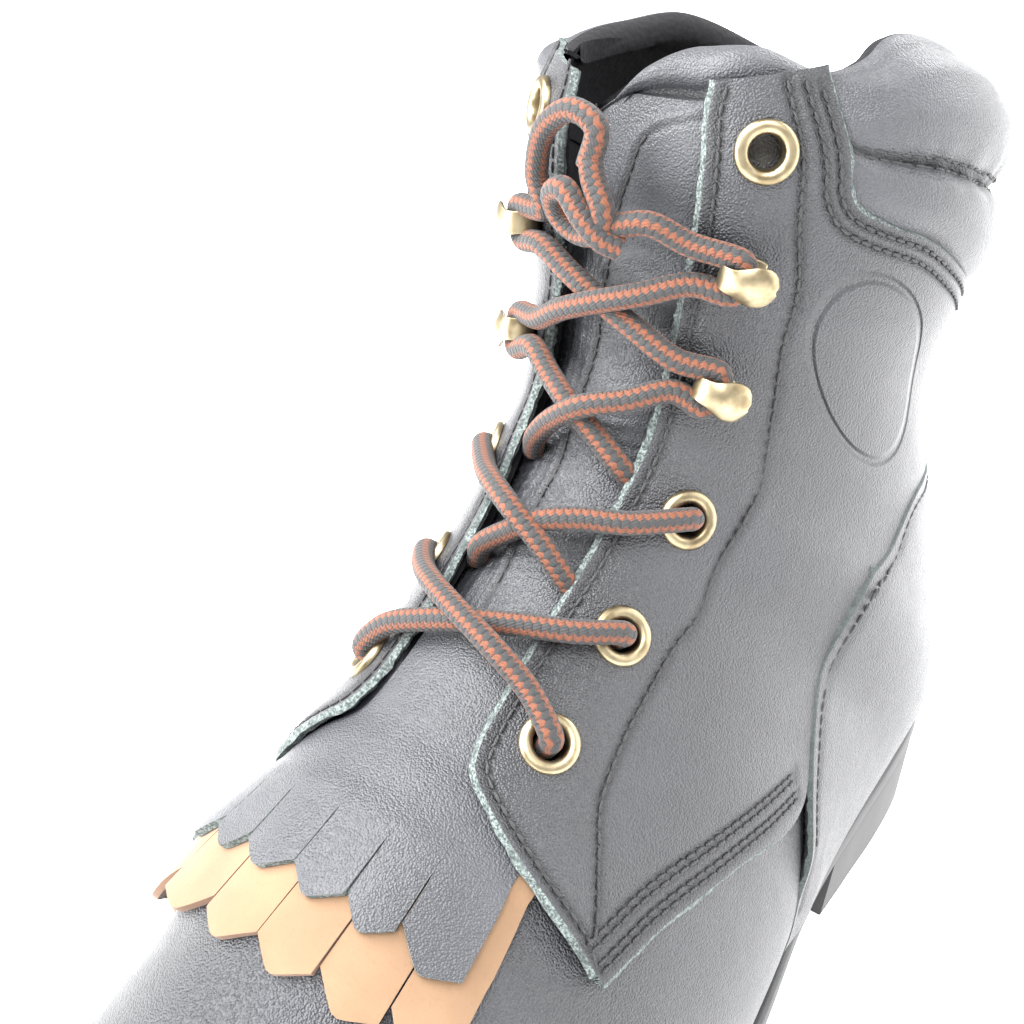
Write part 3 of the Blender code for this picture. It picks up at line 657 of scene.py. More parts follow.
def paint_columns(piece, wide, slot, since, before=0):
    """Another slot for a laid grid's first columns and for its last, on a grid this many faces wide."""
    for index, face in enumerate(piece.data.polygons):
        face.material_index = slot if index % wide < before or index % wide >= since else 0


print("a sheet is laid, joined, walled, painted and dressed")

# %% [markdown]
# ## Seams on the last
#
# A seam is a line of places given as station and share. `seam_line` reads it at even steps, `beside` moves
# it sideways over the surface by so many millimetres, as a sewing machine's guide does, and `nearness`
# says how close each point of a panel is to any seam, which presses the furrow into the leather.

# %% Seam helpers
SEAM_SAMPLE, SEAM_STEP = 0.3, 0.6


def seam_line(side, places, step=SEAM_STEP):
    """Stations and shares along a line, at even steps in millimetres."""
    places = np.asarray(places, float)
    reach = reach_along(surface(side, places[:, 0], places[:, 1]))
    fine = np.linspace(0, reach[-1], int(reach[-1] / SEAM_SAMPLE) + 2)
    stations, shares = (monotone(reach, places[:, k], fine) for k in (0, 1))
    reach = reach_along(surface(side, stations, shares))
    even = np.linspace(0, reach[-1], int(reach[-1] / step) + 2)
    return np.stack([np.interp(even, reach, stations), np.interp(even, reach, shares)], -1)


def beside(side, line, distance):
    """A seam moved sideways over the surface, to the right of its run seen from outside."""
    run, climb = slopes(side, line[:, 0], line[:, 1])
    go = np.gradient(surface(side, line[:, 0], line[:, 1]), axis=0)
    aside = distance * unit(np.cross(go, outward(side, run, climb)))
    rr, rc, cc = (run * run).sum(-1), (run * climb).sum(-1), (climb * climb).sum(-1)
    ra, ca = (run * aside).sum(-1), (climb * aside).sum(-1)
    under = rr * cc - rc * rc
    moved = line + np.stack([(ra * cc - ca * rc) / under, (ca * rr - ra * rc) / under], -1)
    return moved[moved[:, 0] < LAST_STATION - 0.03]


def soften(rows, weight, spread):
    """Blurs a table or grid along its rows where the weight is one, so that leather runs in easy curves."""
    reach = int(3 * spread)
    kernel = np.exp(-0.5 * (np.arange(-reach, reach + 1) / spread) ** 2)
    kernel /= kernel.sum()
    wide = np.concatenate([2 * rows[:1] - rows[reach:0:-1], rows, 2 * rows[-1:] - rows[-2:-reach - 2:-1]])
    blurred = sum(part * wide[i:i + len(rows)] for i, part in enumerate(kernel))
    return rows + (blurred - rows) * np.reshape(weight, (-1,) + (1,) * (rows.ndim - 1))


def nearness(side, stations, shares, lines, width):
    """One on a seam, falling to nought a few widths away, for a grid of places."""
    samples = np.concatenate([surface(side, line[:, 0], line[:, 1]) for line in lines])
    tree = KDTree(len(samples))
    for index, sample in enumerate(samples):
        tree.insert(sample, index)
    tree.balance()
    places = surface(side, stations, shares).reshape(-1, 3)
    gap = np.array([tree.find(place)[2] for place in places]).reshape(stations.shape)
    return np.exp(-((gap / width) ** 2))


print("a seam is sampled every", SEAM_STEP, "mm")

# %% [markdown]
# ## The upper
#
# Vamp, ankle and shaft are one lasted shell, two millimetres thick, open underneath, at the throat and at the
# collar. It is laid as one grid for each side, joined along the toe and the back seam, and walled inwards:
# leather outside, a dark napped lining inside. A few soft creases cross the vamp where the foot bends.

# %% Upper
UPPER_WALL, EYELET_CUT = 2.0, 4.3
THROAT_START, THROAT_OPENING, THROAT_EDGE, THROAT_MARGIN = 7.0, 0.9, 7.33, 0.0195
RIM_DROP, TAB_SHARES, TAB_HEIGHT = 0.4, (0.62, 0.74), {1: 1.0, -1: -0.4}
QUARTER_HIGH = (("station", "share"), (6.33, 0.53), (6.42, 0.659), (6.6, 0.772), (6.94, 0.859), (7.33, 0.875),
                (9.25, 0.886), (13.95, 0.895), (18.4, 0.891), (19, 0.875))
FITTINGS = (("name", "station", "share"), ("eyelet_1", 7.49, 0.782), ("eyelet_2", 9.02, 0.777),
            ("eyelet_3", 12.41, 0.807), ("hook_1", 15.07, 0.832), ("hook_2", 16.76, 0.826),
            ("eyelet_4", 18.22, 0.816))
VAMP_CREASES = (("station", "low", "high", "depth"), (5.05, 0.30, 0.80, 0.2), (5.5, 0.25, 0.72, 0.25),
                (5.95, 0.3, 0.66, 0.2), (4.6, 0.4, 0.85, 0.2))


def vamp_creases(side, stations, shares):
    """Soft troughs across the vamp, in millimetres below the last."""
    sink = np.zeros(stations.shape)
    for station, low, high, depth in VAMP_CREASES[1:]:
        bent = station + 0.22 * (shares - 0.5) + 0.05 * np.sin(9 * shares + side)
        reach = smooth_step(low - 0.12, low + 0.12, shares)
        reach = reach * (1 - smooth_step(high - 0.1, high + 0.1, shares))
        trough = np.exp(-(((stations - bent) / 0.09) ** 2))
        ridge = np.exp(-(((stations - bent - 0.2) / 0.13) ** 2))
        sink -= depth * reach * (trough - 0.45 * ridge)
    return sink


def eyelet_places(side):
    return np.array([surface(side, row[1], row[2]) for row in FITTINGS[1:] if row[0].startswith("eyelet")])


def punch(piece, side):
    """Deletes the faces round each eyelet, so that its hole is a real one."""
    centres = to_frame(eyelet_places(side))
    for face in piece.data.polygons:
        near = np.linalg.norm(centres - np.array(face.center), axis=1).min()
        face.select = bool(near < EYELET_CUT * MM)
    for part in (*piece.data.vertices, *piece.data.edges):
        part.select = False
    pick(piece)
    bpy.ops.object.mode_set(mode="EDIT")
    bpy.ops.mesh.select_mode(type="FACE")
    bpy.ops.mesh.delete(type="FACE")
    bpy.ops.mesh.select_mode(type="VERT")
    bpy.ops.object.mode_set(mode="OBJECT")
    return piece


def make_upper():
    stations = np.concatenate([np.linspace(0, 3, 26)[:-1], np.linspace(3, 7.4, 78)[:-1],
                               np.linspace(7.4, LAST_STATION, 96)])
    opened = np.clip((stations - THROAT_START) / THROAT_OPENING, 0, 1) ** 0.5
    edge = along(QUARTER_HIGH, np.maximum(stations, THROAT_EDGE)) - THROAT_MARGIN
    shares = (1 - opened * (1 - edge))[:, None] * np.linspace(0, 1, 56)[None, :]
    halves = []
    for side, word in SIDES:
        tab = TAB_HEIGHT[side] * smooth_step(*TAB_SHARES, shares)
        drop = RIM_DROP * smooth_step(COLLAR_LOW, LAST_STATION, stations)
        lowered = stations[:, None] - drop[:, None] * (1 - tab)
        places = lifted(side, lowered, shares, vamp_creases(side, lowered, shares))
        halves.append(punch(lay_grid("upper_" + word, places, side > 0), side))
    piece = join(halves)
    piece.name = "upper_shell"
    paint(piece, LEATHER, LINING)
    return dress(wall(piece, UPPER_WALL, inner=1, rim=1), "black_leather", "upper")


make_upper()

# %% [markdown]
# ## The quarters
#
# Each quarter is one panel over the ankle: eyestay, pointed wing and back. Its lower edge runs along the
# wing, over the counter, up the back seam and along the collar; its other edge is the throat. Rows between
# matched places of the two edges keep both edges clean. Seams press furrows, and the rim is a raw cut edge.

# %% Quarter panels
QUARTER_WALL, OVERLAY_FIT, WING_LIFT = 1.7, 0.4, 2.2
LIP_WIDTH, LIP_DROP, LIP_RAGGED = 1.15, 1.0, 0.22
SHOULDER_OUT, SHOULDER_DROP = 0.22, 0.12
TAB_START, MEDIAL_TAB, EDGE_BLUR, SKIN = 18, 0.82, 4, 0.2
QUARTER_EDGES = (
    ("station", "share", "throat_station"),
    (6.33, 0.512, 6.33),
    (6.94, 0.48, 6.6),
    (7.72, 0.408, 7.2),
    (8.58, 0.313, 8.0),
    (8.97, 0.357, 8.45),
    (9.24, 0.404, 8.9),
    (9.79, 0.452, 9.6),
    (12.03, 0.533, 11.8),
    (12.77, 0.556, 12.5),
    (13.64, 0.539, 13.3),
    (14.38, 0.492, 13.95),
    (14.81, 0.431, 14.35),
    (15.2, 0.31, 14.8),
    (15.6, 0.15, 15.3),
    (15.85, 0.004, 15.6),
    (16.84, 0.004, 16.2),
    (16.95, 0.3, 16.5),
    (17.19, 0.444, 16.8),
    (17.43, 0.55, 17.05),
    (17.56, 0.642, 17.25),
    (17.7, 0.688, 17.45),
    (17.95, 0.703, 17.7),
    (19.12, 0.7, 19),
)
EYESTAY = ((19, 0.768), (18.26, 0.769), (17.38, 0.765), (16.22, 0.742), (14.62, 0.742), (12.60, 0.743),
           (9.54, 0.693), (8.24, 0.692), (7.43, 0.672), (6.95, 0.626), (6.51, 0.570))
COLLAR_LINE = ((16.85, 0.02), (16.95, 0.3), (17.19, 0.444), (17.43, 0.55), (17.56, 0.642), (17.7, 0.688),
               (17.95, 0.703), (19, 0.7))
WING_LINE = ((6.36, 0.510), (6.94, 0.48), (7.72, 0.408), (8.52, 0.32))
WING_ROWS = (2.0, 3.6, 6.4, 8.0)
COLLAR_ROWS = (1.7, 4.3)
THROAT_ROW = 2.0
SEAM_WIDTH, SEAM_DEPTH = 1.1, 0.42
THROAT_STATIONS = (*np.linspace(LAST_STATION, 7.4, 24), 6.94, 6.6, 6.42, 6.36)


def quarter_lift(stations, shares):
    """The height of a quarter's inner face over the last: the wing rides over the fringe."""
    raised = (1 - smooth_step(6.45, 7.45, stations)) * smooth_step(0.46, 0.66, shares)
    return OVERLAY_FIT + WING_LIFT * raised


def quarter_seams(side):
    """All of a quarter's seams, in the order in which they are sewn."""
    throat = [(station, float(along(QUARTER_HIGH, station))) for station in THROAT_STATIONS]
    lines = [beside(side, seam_line(side, throat), -THROAT_ROW * side), seam_line(side, EYESTAY)]
    wing = seam_line(side, WING_LINE)
    lines += [beside(side, wing, -row * side) for row in WING_ROWS]
    collar = seam_line(side, COLLAR_LINE)
    lines += [beside(side, collar, -row * side) for row in COLLAR_ROWS]
    return lines


def add_lip(places, outs, end, width, seed):
    """Two more columns past an edge of a grid, sloping down: the leather's cut edge, a little ragged."""
    edge, before = (places[:, 0], places[:, 1]) if end == 0 else (places[:, -1], places[:, -2])
    out = outs[:, end]
    aside = unit(np.cross(np.gradient(edge, axis=0), out))
    aside *= np.sign(((edge - before) * aside).sum(-1))[:, None]
    ragged = np.random.default_rng(seed).normal(0, 1, (2, len(edge)))
    ragged = LIP_RAGGED * (ragged + np.roll(ragged, 1, 1) + np.roll(ragged, -1, 1)) / 3
    shoulder = edge + aside * (SHOULDER_OUT * width)[:, None] - out * SHOULDER_DROP
    foot = edge + aside * (width * (1 + ragged[0]))[:, None]
    foot = foot - out * (LIP_DROP * (1 + ragged[1]))[:, None]
    new = [shoulder[:, None], foot[:, None]]
    return np.concatenate([*new[::-1], places] if end == 0 else [places, *new], 1)


def make_quarter(side, word, rows=300, columns=88):
    edges = {name: column(QUARTER_EDGES, name) for name in QUARTER_EDGES[0]}
    if side < 0:
        for name in ("station", "throat_station"):
            above = np.maximum(edges[name] - TAB_START, 0)
            edges[name] = edges[name] - (1 - MEDIAL_TAB) * above
    reach = reach_along(surface(side, edges["station"], edges["share"]))
    way = np.linspace(0, reach[-1], rows)
    lines = [monotone(reach, edges[name], way) for name in QUARTER_EDGES[0]]
    by_counter = smooth_step(9.0, 9.3, lines[0]) * (1 - smooth_step(15.0, 15.4, lines[0]))
    low_station, low_share, high_station = soften(np.stack(lines, -1), by_counter, EDGE_BLUR).T
    low_share = low_share - 0.03 * by_counter
    high_share = along(QUARTER_HIGH, high_station)
    over = np.linspace(0, 1, columns)[None, :]
    stations = low_station[:, None] + (high_station - low_station)[:, None] * over
    shares = low_share[:, None] + (high_share - low_share)[:, None] * over
    seam = nearness(side, stations, shares, quarter_seams(side), SEAM_WIDTH)
    lift = quarter_lift(stations, shares) + QUARTER_WALL - SEAM_DEPTH * seam
    places = soften(lifted(side, stations, shares, lift), by_counter, EDGE_BLUR)
    outs = lifted(side, stations, shares, lift + 1) - places
    low_lip = LIP_WIDTH * smooth_step(0.01, 0.1, low_share)
    places = add_lip(places, outs, 0, low_lip, 3)
    places = add_lip(places, outs, -1, np.full(rows, LIP_WIDTH), 5)
    lips = ((0, 0), (2, 2))
    values = {"seam": np.pad(seam, lips), "station": np.pad(stations, lips, "edge")}
    piece = lay_grid("quarter_" + word + "_panel", places, side > 0, values)
    paint(piece, PRESSED if side > 0 else LEATHER, LEATHER, RAW_EDGE)
    paint_columns(piece, columns + 3, 2, columns + 1, 2)
    punch(piece, side)
    wall(piece, QUARTER_WALL - SKIN, rim=2)
    height = np.zeros(len(piece.data.vertices), np.float32)
    piece.data.attributes["station"].data.foreach_get("value", height)
    for face in piece.data.polygons:
        if face.material_index == 2 and min(height[list(face.vertices)]) > LAST_STATION - 0.01:
            face.material_index = 0
    return dress(piece, "black_leather", "quarter_" + word)


for side, word in SIDES:
    make_quarter(side, word)

# %% [markdown]
# ## The counter
#
# A thicker panel wraps the heel from waist to waist, over the quarters' lower edges, and stands on the welt.
# Its forward edge sweeps up in an S and is left raw. Rows run up the ribs and are spaced evenly along that
# edge. At the low front corner the panel tucks down to the vamp.

# %% Heel counter
COUNTER_WALL, COUNTER_TUCK, COUNTER_BLUR = 2.1, 2.3, 6
COUNTER_EDGE = (("station", "share"), (8.3, 0.1), (8.4, 0.192), (8.53, 0.255), (8.66, 0.296), (8.96, 0.344),
                (9.22, 0.389), (9.75, 0.434), (10.6, 0.472), (11.46, 0.505), (12.3, 0.532), (12.62, 0.541),
                (13.34, 0.529), (14.4, 0.477), (14.82, 0.417), (15.2, 0.29), (15.57, 0.138), (15.68, 0.06))
COUNTER_ROW = 3.4


def counter_edge(side, step):
    edge = seam_line(side, np.array(COUNTER_EDGE[1:]), step)
    return soften(edge, np.ones(len(edge)), 5 / step)


def counter_row(side):
    """The counter's stitched row, inside its raw edge."""
    return beside(side, counter_edge(side, SEAM_STEP), COUNTER_ROW * side)


def make_counter(rows=230, columns=54):
    halves = []
    for side, word in SIDES:
        edge = counter_edge(side, 0.25)
        pick = np.unique(np.linspace(0, len(edge) - 1, rows).astype(int))
        high_station, high_share = edge[pick].T
        start = 0.012 + 0.014 * smooth_step(11, 12.5, high_station)
        start = start * (1 - smooth_step(HEEL_BACK - 0.4, HEEL_BACK, high_station))
        over = np.linspace(0, 1, columns)[None, :]
        shares = start[:, None] + (high_share - start)[:, None] * over
        stations = np.broadcast_to(high_station[:, None], shares.shape)
        seam = nearness(side, stations, shares, [counter_row(side)], SEAM_WIDTH)
        corner = (1 - smooth_step(8.3, 8.75, stations)) * (1 - smooth_step(0.12, 0.24, shares))
        lift = OVERLAY_FIT + COUNTER_WALL - SEAM_DEPTH * seam - COUNTER_TUCK * corner
        places = lifted(side, stations, shares, lift)
        outs = lifted(side, stations, shares, lift + 1) - places
        eased = smooth_step(8.4, 9.2, high_station) * (1 - smooth_step(15, 15.5, high_station))
        width = LIP_WIDTH * (0.5 + 1.1 * smooth_step(8.5, 9.4, high_station))
        places = add_lip(soften(places, eased, COUNTER_BLUR), outs, -1, width, 11 + side)
        half = lay_grid("counter_" + word, places, side > 0, {"seam": np.pad(0.4 * seam, ((0, 0), (0, 2)))})
        # The counter's cut rim takes the darker edge finish: painted shade.
        paint(half, LEATHER, SHADED_EDGE)
        paint_columns(half, columns + 1, 1, columns - 1)
        halves.append(half)
    piece = join(halves)
    piece.name = "counter_panel"
    return dress(wall(piece, COUNTER_WALL - SKIN, rim=1), "black_leather", "counter")


make_counter()

# %% [markdown]
# ## The padded collar
#
# Two soft rolls go round the back of the shaft, with a stitched channel between them, and the upper one turns
# over the rim to the lining. It is a closed form laid in rows: out from under the quarter's edge, over the
# lower roll, down into the channel, over the upper roll and down inside.

# %% Collar pad
COLLAR_FRONT, COLLAR_BASE = 0.71, 0.6
COLLAR_EDGE = (("share", "station"), (0, 16.83), (0.3, 16.94), (0.444, 17.18), (0.55, 17.42), (0.642, 17.55),
               (0.688, 17.69), (0.71, 17.95))
COLLAR_SWELL = (("way", "swell"), (0, 0.2), (0.03, 2.0), (0.1, 3.9), (0.22, 5.2), (0.35, 4.7), (0.42, 3.0),
                (0.46, 1.7), (0.5, 3.4), (0.57, 5.7), (0.7, 7.6), (0.84, 7.4), (0.94, 5.6), (1, 3.6))
COLLAR_INSIDE = -3.4
RIM_RISE = (("turn", "rise"), (-1, -3), (-0.85, -6), (-0.65, -4), (-0.45, 0), (-0.2, -3), (0, -5),
            (0.3, -3.5), (0.55, 1), (0.73, 3.5), (0.8, 3), (0.88, 0.5), (0.93, 0), (1, 0.5))
CHANNEL_WAY, CHANNEL_ROWS = 0.46, (26, 29)


def make_collar(columns=150):
    """The pad itself; what comes back are the two stitched rows beside its channel."""
    turns = np.linspace(-1, 1, columns)
    way = np.linspace(0, 1, 60)
    channel = ([], [])
    swell = along(COLLAR_SWELL, way)
    lines, seams = [], []
    for q in turns:
        side = 1 if q >= 0 else -1
        share = abs(q) * COLLAR_FRONT
        low = float(along(COLLAR_EDGE, share))
        stations = low + way * (LAST_STATION - low)
        ease = 1 - (1 - min(1, (1 - abs(q)) / 0.3)) ** 2.4
        pucker = 0.35 * np.exp(-(((way - CHANNEL_WAY) / 0.09) ** 2)) * math.sin(95 * q + 3 * math.sin(14 * q))
        outer = lifted(side, stations, share, COLLAR_BASE + (swell + pucker) * ease)
        rim_out, rim_in = COLLAR_BASE + swell[-1] * ease, COLLAR_INSIDE
        rise = unit(outer[-1] - lifted(side, stations[-4:-3], share, rim_out)[0])
        raised = float(along(RIM_RISE, q))
        outer = outer + rise * raised * smooth_step(0.5, 1, way)[:, None]
        angles = np.linspace(0, math.pi, 12)[1:]
        middle, half = (rim_out + rim_in) / 2, (rim_out - rim_in) / 2
        over = lifted(side, np.full(11, LAST_STATION), share, middle + half * np.cos(angles))
        over = over + rise * (raised + half * (0.25 + 0.75 * ease) * np.sin(angles))[:, None]
        inside = np.linspace(LAST_STATION, low + 0.2, 14)[1:]
        down = lifted(side, inside, share, np.full(len(inside), COLLAR_INSIDE + 1.0))
        for row, k in zip(channel, CHANNEL_ROWS):
            row.append((outer[k], outward(side, *slopes(side, stations[k], share))))
        lines.append(np.concatenate([outer, over, down]))
        # This seam value only darkens the colour: painted shade along the collar's channel.
        seams.append(np.concatenate([np.exp(-(((way - CHANNEL_WAY) / 0.03) ** 2)), np.zeros(24)]))
    piece = lay_grid("collar_padding", np.array(lines), False, {"seam": np.array(seams)})
    paint(piece, SOFT_LEATHER, LINING)
    paint_columns(piece, len(lines[0]) - 1, 1, len(way) + 3)
    dress(wall(piece, 0.8), "black_leather", "collar_pad", angle=60)
    return [tuple(np.array(part) for part in zip(*row)) for row in channel]


COLLAR_SEAMS = make_collar()

# %% [markdown]
# ## The tongue
#
# Behind the lace lies a padded leather tongue, with a stitched seam along its outer half. It puffs out
# between the lace's rows, creases across, and its top rolls forward above the rim. A cloth simulation could
# give such creases; sums of waves are quicker and stay the same on every run.

# %% Tongue
TONGUE_SIDES = (("station", "medial", "lateral"), (6.6, -15, 15), (9, -18, 18), (14, -20, 20), (17, -23, 24),
                (18.8, -20, 27.5))
TONGUE_PUFFS = (("station", "height"), (9.3, 0.3), (10.6, 1.6), (12.6, 0.2), (13.7, 1.7), (15.1, 0.3),
                (15.8, 1.5), (16.7, 0.2), (17.6, 1.0), (18.6, 0.6))
TONGUE_SEAM = (("station", "across"), (6.6, -6), (12, -6.5), (16, -6.8), (17.0, -5.8), (17.65, -2.9),
               (18.15, -0.7), (18.45, 3.0), (18.7, 11.3))
TONGUE_ROLL = (("way", "out", "up"), (0, 0, 0), (0.08, -1.3, 1.0), (0.15, -0.9, 2.0), (0.25, 1.0, 3.0),
               (0.37, 2.7, 4.9), (0.5, 3.0, 7.2), (0.6, 2.0, 9.2), (0.7, -0.2, 10.4), (0.78, -2.6, 10.4),
               (0.86, -4.6, 8.8),
               (0.93, -5.8, 4.5), (1, -6.2, -3.0))
ROLL_HEIGHT = (("across", "height"), (-24, 0.03), (-7.5, 0.08), (-0.7, 0.55), (8, 0.95), (17, 1.0),
               (24.6, 0.75), (29, 0.5))
TONGUE_START, TONGUE_DEPTH, TONGUE_WALL, TONGUE_ROW = 6.6, 3.1, 1.6, 2.4
STATION_LENGTH = 12.5
SEAM_STATIONS = np.linspace(TONGUE_START, 18.7, 300)
SEAM_ACROSS = along(TONGUE_SEAM, SEAM_STATIONS)


def tongue_seam(stations):
    """Where the tongue's seam is, and how much longer it runs there than straight up."""
    here, before, after = (np.interp(stations + shift, SEAM_STATIONS, SEAM_ACROSS)
                           for shift in (0, -0.05, 0.05))
    return here, np.sqrt(1 + ((after - before) / (0.1 * STATION_LENGTH)) ** 2)


def tongue_sink(across, stations):
    """How far the tongue lies under the last, and how near each place is to its seam."""
    seam_across, stretch = tongue_seam(stations)
    off = (across - seam_across) / stretch
    puff = along(TONGUE_PUFFS, np.clip(stations, 9.3, 18.6)) * np.clip(1 - (across / 24) ** 2, 0, 1)
    crease = np.sin(stations * 24 + 5 * np.sin(0.15 * across + stations))
    crease = crease * smooth_step(9, 9.6, stations) * (1 - smooth_step(16.8, 17.6, stations))
    wrinkle = np.sin(2.3 * across + 1.5 * np.sin(3 * stations)) * (1 - smooth_step(-1, 1, off))
    wrinkle = wrinkle * (1 - smooth_step(17, 17.8, stations))
    tucked = smooth_step(8, 20, -across) * smooth_step(15.5, 17.5, stations)
    panel = 1.1 * smooth_step(-0.7, 0.7, off) - 0.6 - 4.0 * tucked
    seam = np.exp(-(((off - TONGUE_ROW) / 0.9) ** 2))
    return -TONGUE_DEPTH + 0.8 * puff + 0.17 * crease + 0.1 * wrinkle + panel - 0.5 * seam, seam


def make_tongue(rows=170, columns=84):
    low, high = along(TONGUE_SIDES, np.linspace(TONGUE_START, 18.75, rows))
    across = low[:, None] + (high - low)[:, None] * np.linspace(0, 1, columns)[None, :]
    top = 18.3 + 0.45 * smooth_step(-14, -1, across)
    stations = TONGUE_START + (top - TONGUE_START) * np.linspace(0, 1, rows)[:, None]
    sink, seam = tongue_sink(across, stations)
    places = over_front(across, stations, sink)
    edge = places[-1]
    rise = unit(edge - places[-4])
    out = over_front(across[-1], stations[-1], sink[-1] + 1) - edge
    even = np.ones(columns)
    rise, out, eased = soften(rise, even, 6), soften(out, even, 6), soften(edge, even, 6) - edge
    way = np.linspace(0, 1, 40)[1:]
    roll_out, roll_up = along(TONGUE_ROLL, way)
    size = along(ROLL_HEIGHT, across[-1])
    roll = edge + eased * smooth_step(0, 0.25, way)[:, None, None]
    roll = roll + out * roll_out[:, None, None] * np.sqrt(size)[:, None]
    roll = roll + rise * roll_up[:, None, None] * size[:, None]
    # The seam value at the roll's crease darkens the colour: painted shade.
    seam = np.concatenate([seam, np.exp(-(((way - 0.08) / 0.06) ** 2))[:, None] * np.ones(columns)])
    piece = lay_grid("tongue_padding", np.concatenate([places, roll]), False, {"seam": seam})
    paint(piece, SOFT_LEATHER, LINING)
    wall(piece, TONGUE_WALL, inner=1)
    return dress(piece, "black_leather", "tongue", angle=60)


make_tongue()

# %% [markdown]
# ## The fringe
#
# Two flaps lie over the vamp, black over tan, each slit into strips with pointed tips. Every strip is its
# own grid that meets its neighbour above the slit and stands a hair apart below it; joined and walled, the
# flap is one sheet with real slits. The black one runs up into the throat under the quarters' edges.

# %% Kiltie flaps
FLAP_WALL = 1.5
KILTIES = (
    ("name", "edges", "top", "slit", "tip", "droop", "lift"),
    ("kiltie_black", (-40, -31.5, -23, -13.6, -1.7, 9, 18.3, 29.5), 8.6, 6.0, 5.24, 0.0002, 0.0),
    ("kiltie_tan", (-43, -35.5, -24.5, -12, 0.4, 11.8, 23.1, 33), 6.5, 5.75, 4.67, 0.0003, 0.4),
)
BLACK_LIFT = (("station", "lift"), (4.7, 2.2), (6.05, 2.2), (6.3, 1.1), (6.6, 0.2), (7.0, -1.2), (8.6, -1.6))
FLAP_REACH = (("station", "reach"), (6.1, 41), (6.3, 37.5), (6.42, 34), (6.6, 24.5), (6.94, 15.2),
              (7.33, 13.4), (8.6, 12.4))
FLAP_POINT = 0.2
SLIT_GAP = 0.13
FLAP_FAN, FLAP_MIDDLE, FLAP_FLARE = 0.156, 12.0, 4.0
FAN_STATION, FAN_LOW, FAN_HIGH, REACH_LOW = 5.6, 4.5, 6.3, 6.1
FLAP_DRESS = {"kiltie_black": ("black_leather", (SOFT_LEATHER, SOFT_LEATHER, RAW_EDGE)),
              "kiltie_tan": ("tan_nubuck", (TAN, TAN, TAN_EDGE))}


def make_kiltie(name, edges, top, slit, tip, droop, lift, rows=70, columns=12):
    """A flap of strips; each strip's rows run from the flap's top to the strip's own pointed tip."""
    over = np.linspace(0, 1, columns)
    strips = []
    for number, (left, right) in enumerate(zip(edges, edges[1:])):
        middle = (left + right) / 2
        point = np.sqrt((2 * over - 1) ** 2 + 0.02)
        end = tip + droop * middle**2 + FLAP_POINT * point
        way = np.linspace(0, 1, rows)[:, None]
        stations = top + (end[None, :] - top) * way
        gap = SLIT_GAP * smooth_step(-slit, -slit + 0.12, -stations)
        x = left + gap + (right - left - 2 * gap) * over[None, :]
        x = x + (x - FLAP_MIDDLE) * FLAP_FAN * (FAN_STATION - np.clip(stations, FAN_LOW, FAN_HIGH))
        reach = along(FLAP_REACH, np.clip(stations, REACH_LOW, 8.6))
        width = np.minimum(1, reach / np.where(x < 0, abs(edges[0]), edges[-1]))
        width = np.where(stations < REACH_LOW, 1, width)
        height = along(BLACK_LIFT, stations) if top > THROAT_START else np.full(stations.shape, lift)
        free = smooth_step(-slit, -tip, -stations)
        curl = 0.18 * np.sin(2.1 * number + 1) * free
        curl = curl + 0.2 * free * (2 * over[None, :] - 1) ** 2 * (-1) ** number
        flare = FLAP_FLARE * smooth_step(14, 34, -x) * smooth_step(-6.4, -5.4, -stations)
        places = over_front(x * width, stations, height + flare + np.maximum(curl, -0.3))
        strips.append(lay_grid(f"{name}_strip_{number}", places))
    piece = join(strips, 0.02)
    piece.name = name + "_flap"
    slot, finishes = FLAP_DRESS[name]
    paint(piece, *finishes)
    edit(piece, bpy.ops.mesh.normals_make_consistent)
    return dress(wall(piece, FLAP_WALL, outward=True, inner=1, rim=2), slot, name)


for row in KILTIES[1:]:
    make_kiltie(*row)

# %% [markdown]
# ## Sole, welt and insole
#
# The welt is a stitched edge plate between upper and outsole; the outsole is flat under the forefoot and
# springs up at the toe; the heel is a low block. Each is laid as rings round the boot, from its top face down
# its rounded edge to its underside, and capped, so that light runs along the edge as on pressed rubber.

# %% Sole plates
WELT_REACH = (("station", "reach"), (0, 4.5), (4, 4.5), (6, 3.2), (7.5, 1.0), (9, 0.5), (10, 1.4), (13, 1.6))
WELT_THICK, OUTSOLE_THICK, PLATE_GAP = 4.2, 4.7, 0.3
HEEL_BREAST, HEEL_TAPER, HEEL_INSET = 9.57, 2.4, 0.4
INSOLE_THICK, INSOLE_INSET = 3.0, 3.5


def outline(stations, reach):
    """Both sides of a plate in plan, this far outside the feather line."""
    sides = []
    for sign, _ in SIDES:
        line = feather(sign, stations)
        run = np.gradient(line, axis=0)
        run[0] = (sign, 0) if stations[0] == 0 else run[0]
        run[-1] = (-sign, 0) if stations[-1] == HEEL_BACK else run[-1]
        out = unit(np.stack([run[:, 1], -run[:, 0]], -1) * sign)
        sides.append(line + out * np.asarray(reach)[:, None])
    return sides


def welt_top(y):
    return along(FEATHER, y) - PLATE_GAP


def outsole_top(y):
    return welt_top(y) - WELT_THICK - PLATE_GAP


def outsole_bottom(y):
    return np.maximum(outsole_top(y) - OUTSOLE_THICK, 0)


def make_plate(name, stations, reach, levels, material):
    """A closed plate from levels of (sideways, height function, height shift), top face first."""
    lines = []
    for sideways, height, shift in levels:
        lateral, medial = outline(stations, reach + sideways)
        ring = np.concatenate([lateral, medial[::-1]])
        lines.append(np.column_stack([ring, height(ring[:, 1]) + shift]))
    piece = lay_grid(name, np.array(lines)[:, ::-1])
    rows = len(stations)
    caps = []
    for k, flip in ((0, False), (-1, True)):
        lateral, medial = lines[k][:rows], lines[k][rows:][::-1]
        share = np.linspace(0, 1, 10)[None, :, None]
        caps.append(lay_grid(name + "_cap", medial[:, None] + (lateral - medial)[:, None] * share, flip))
    return paint(join([piece, *caps], 0.005), material)


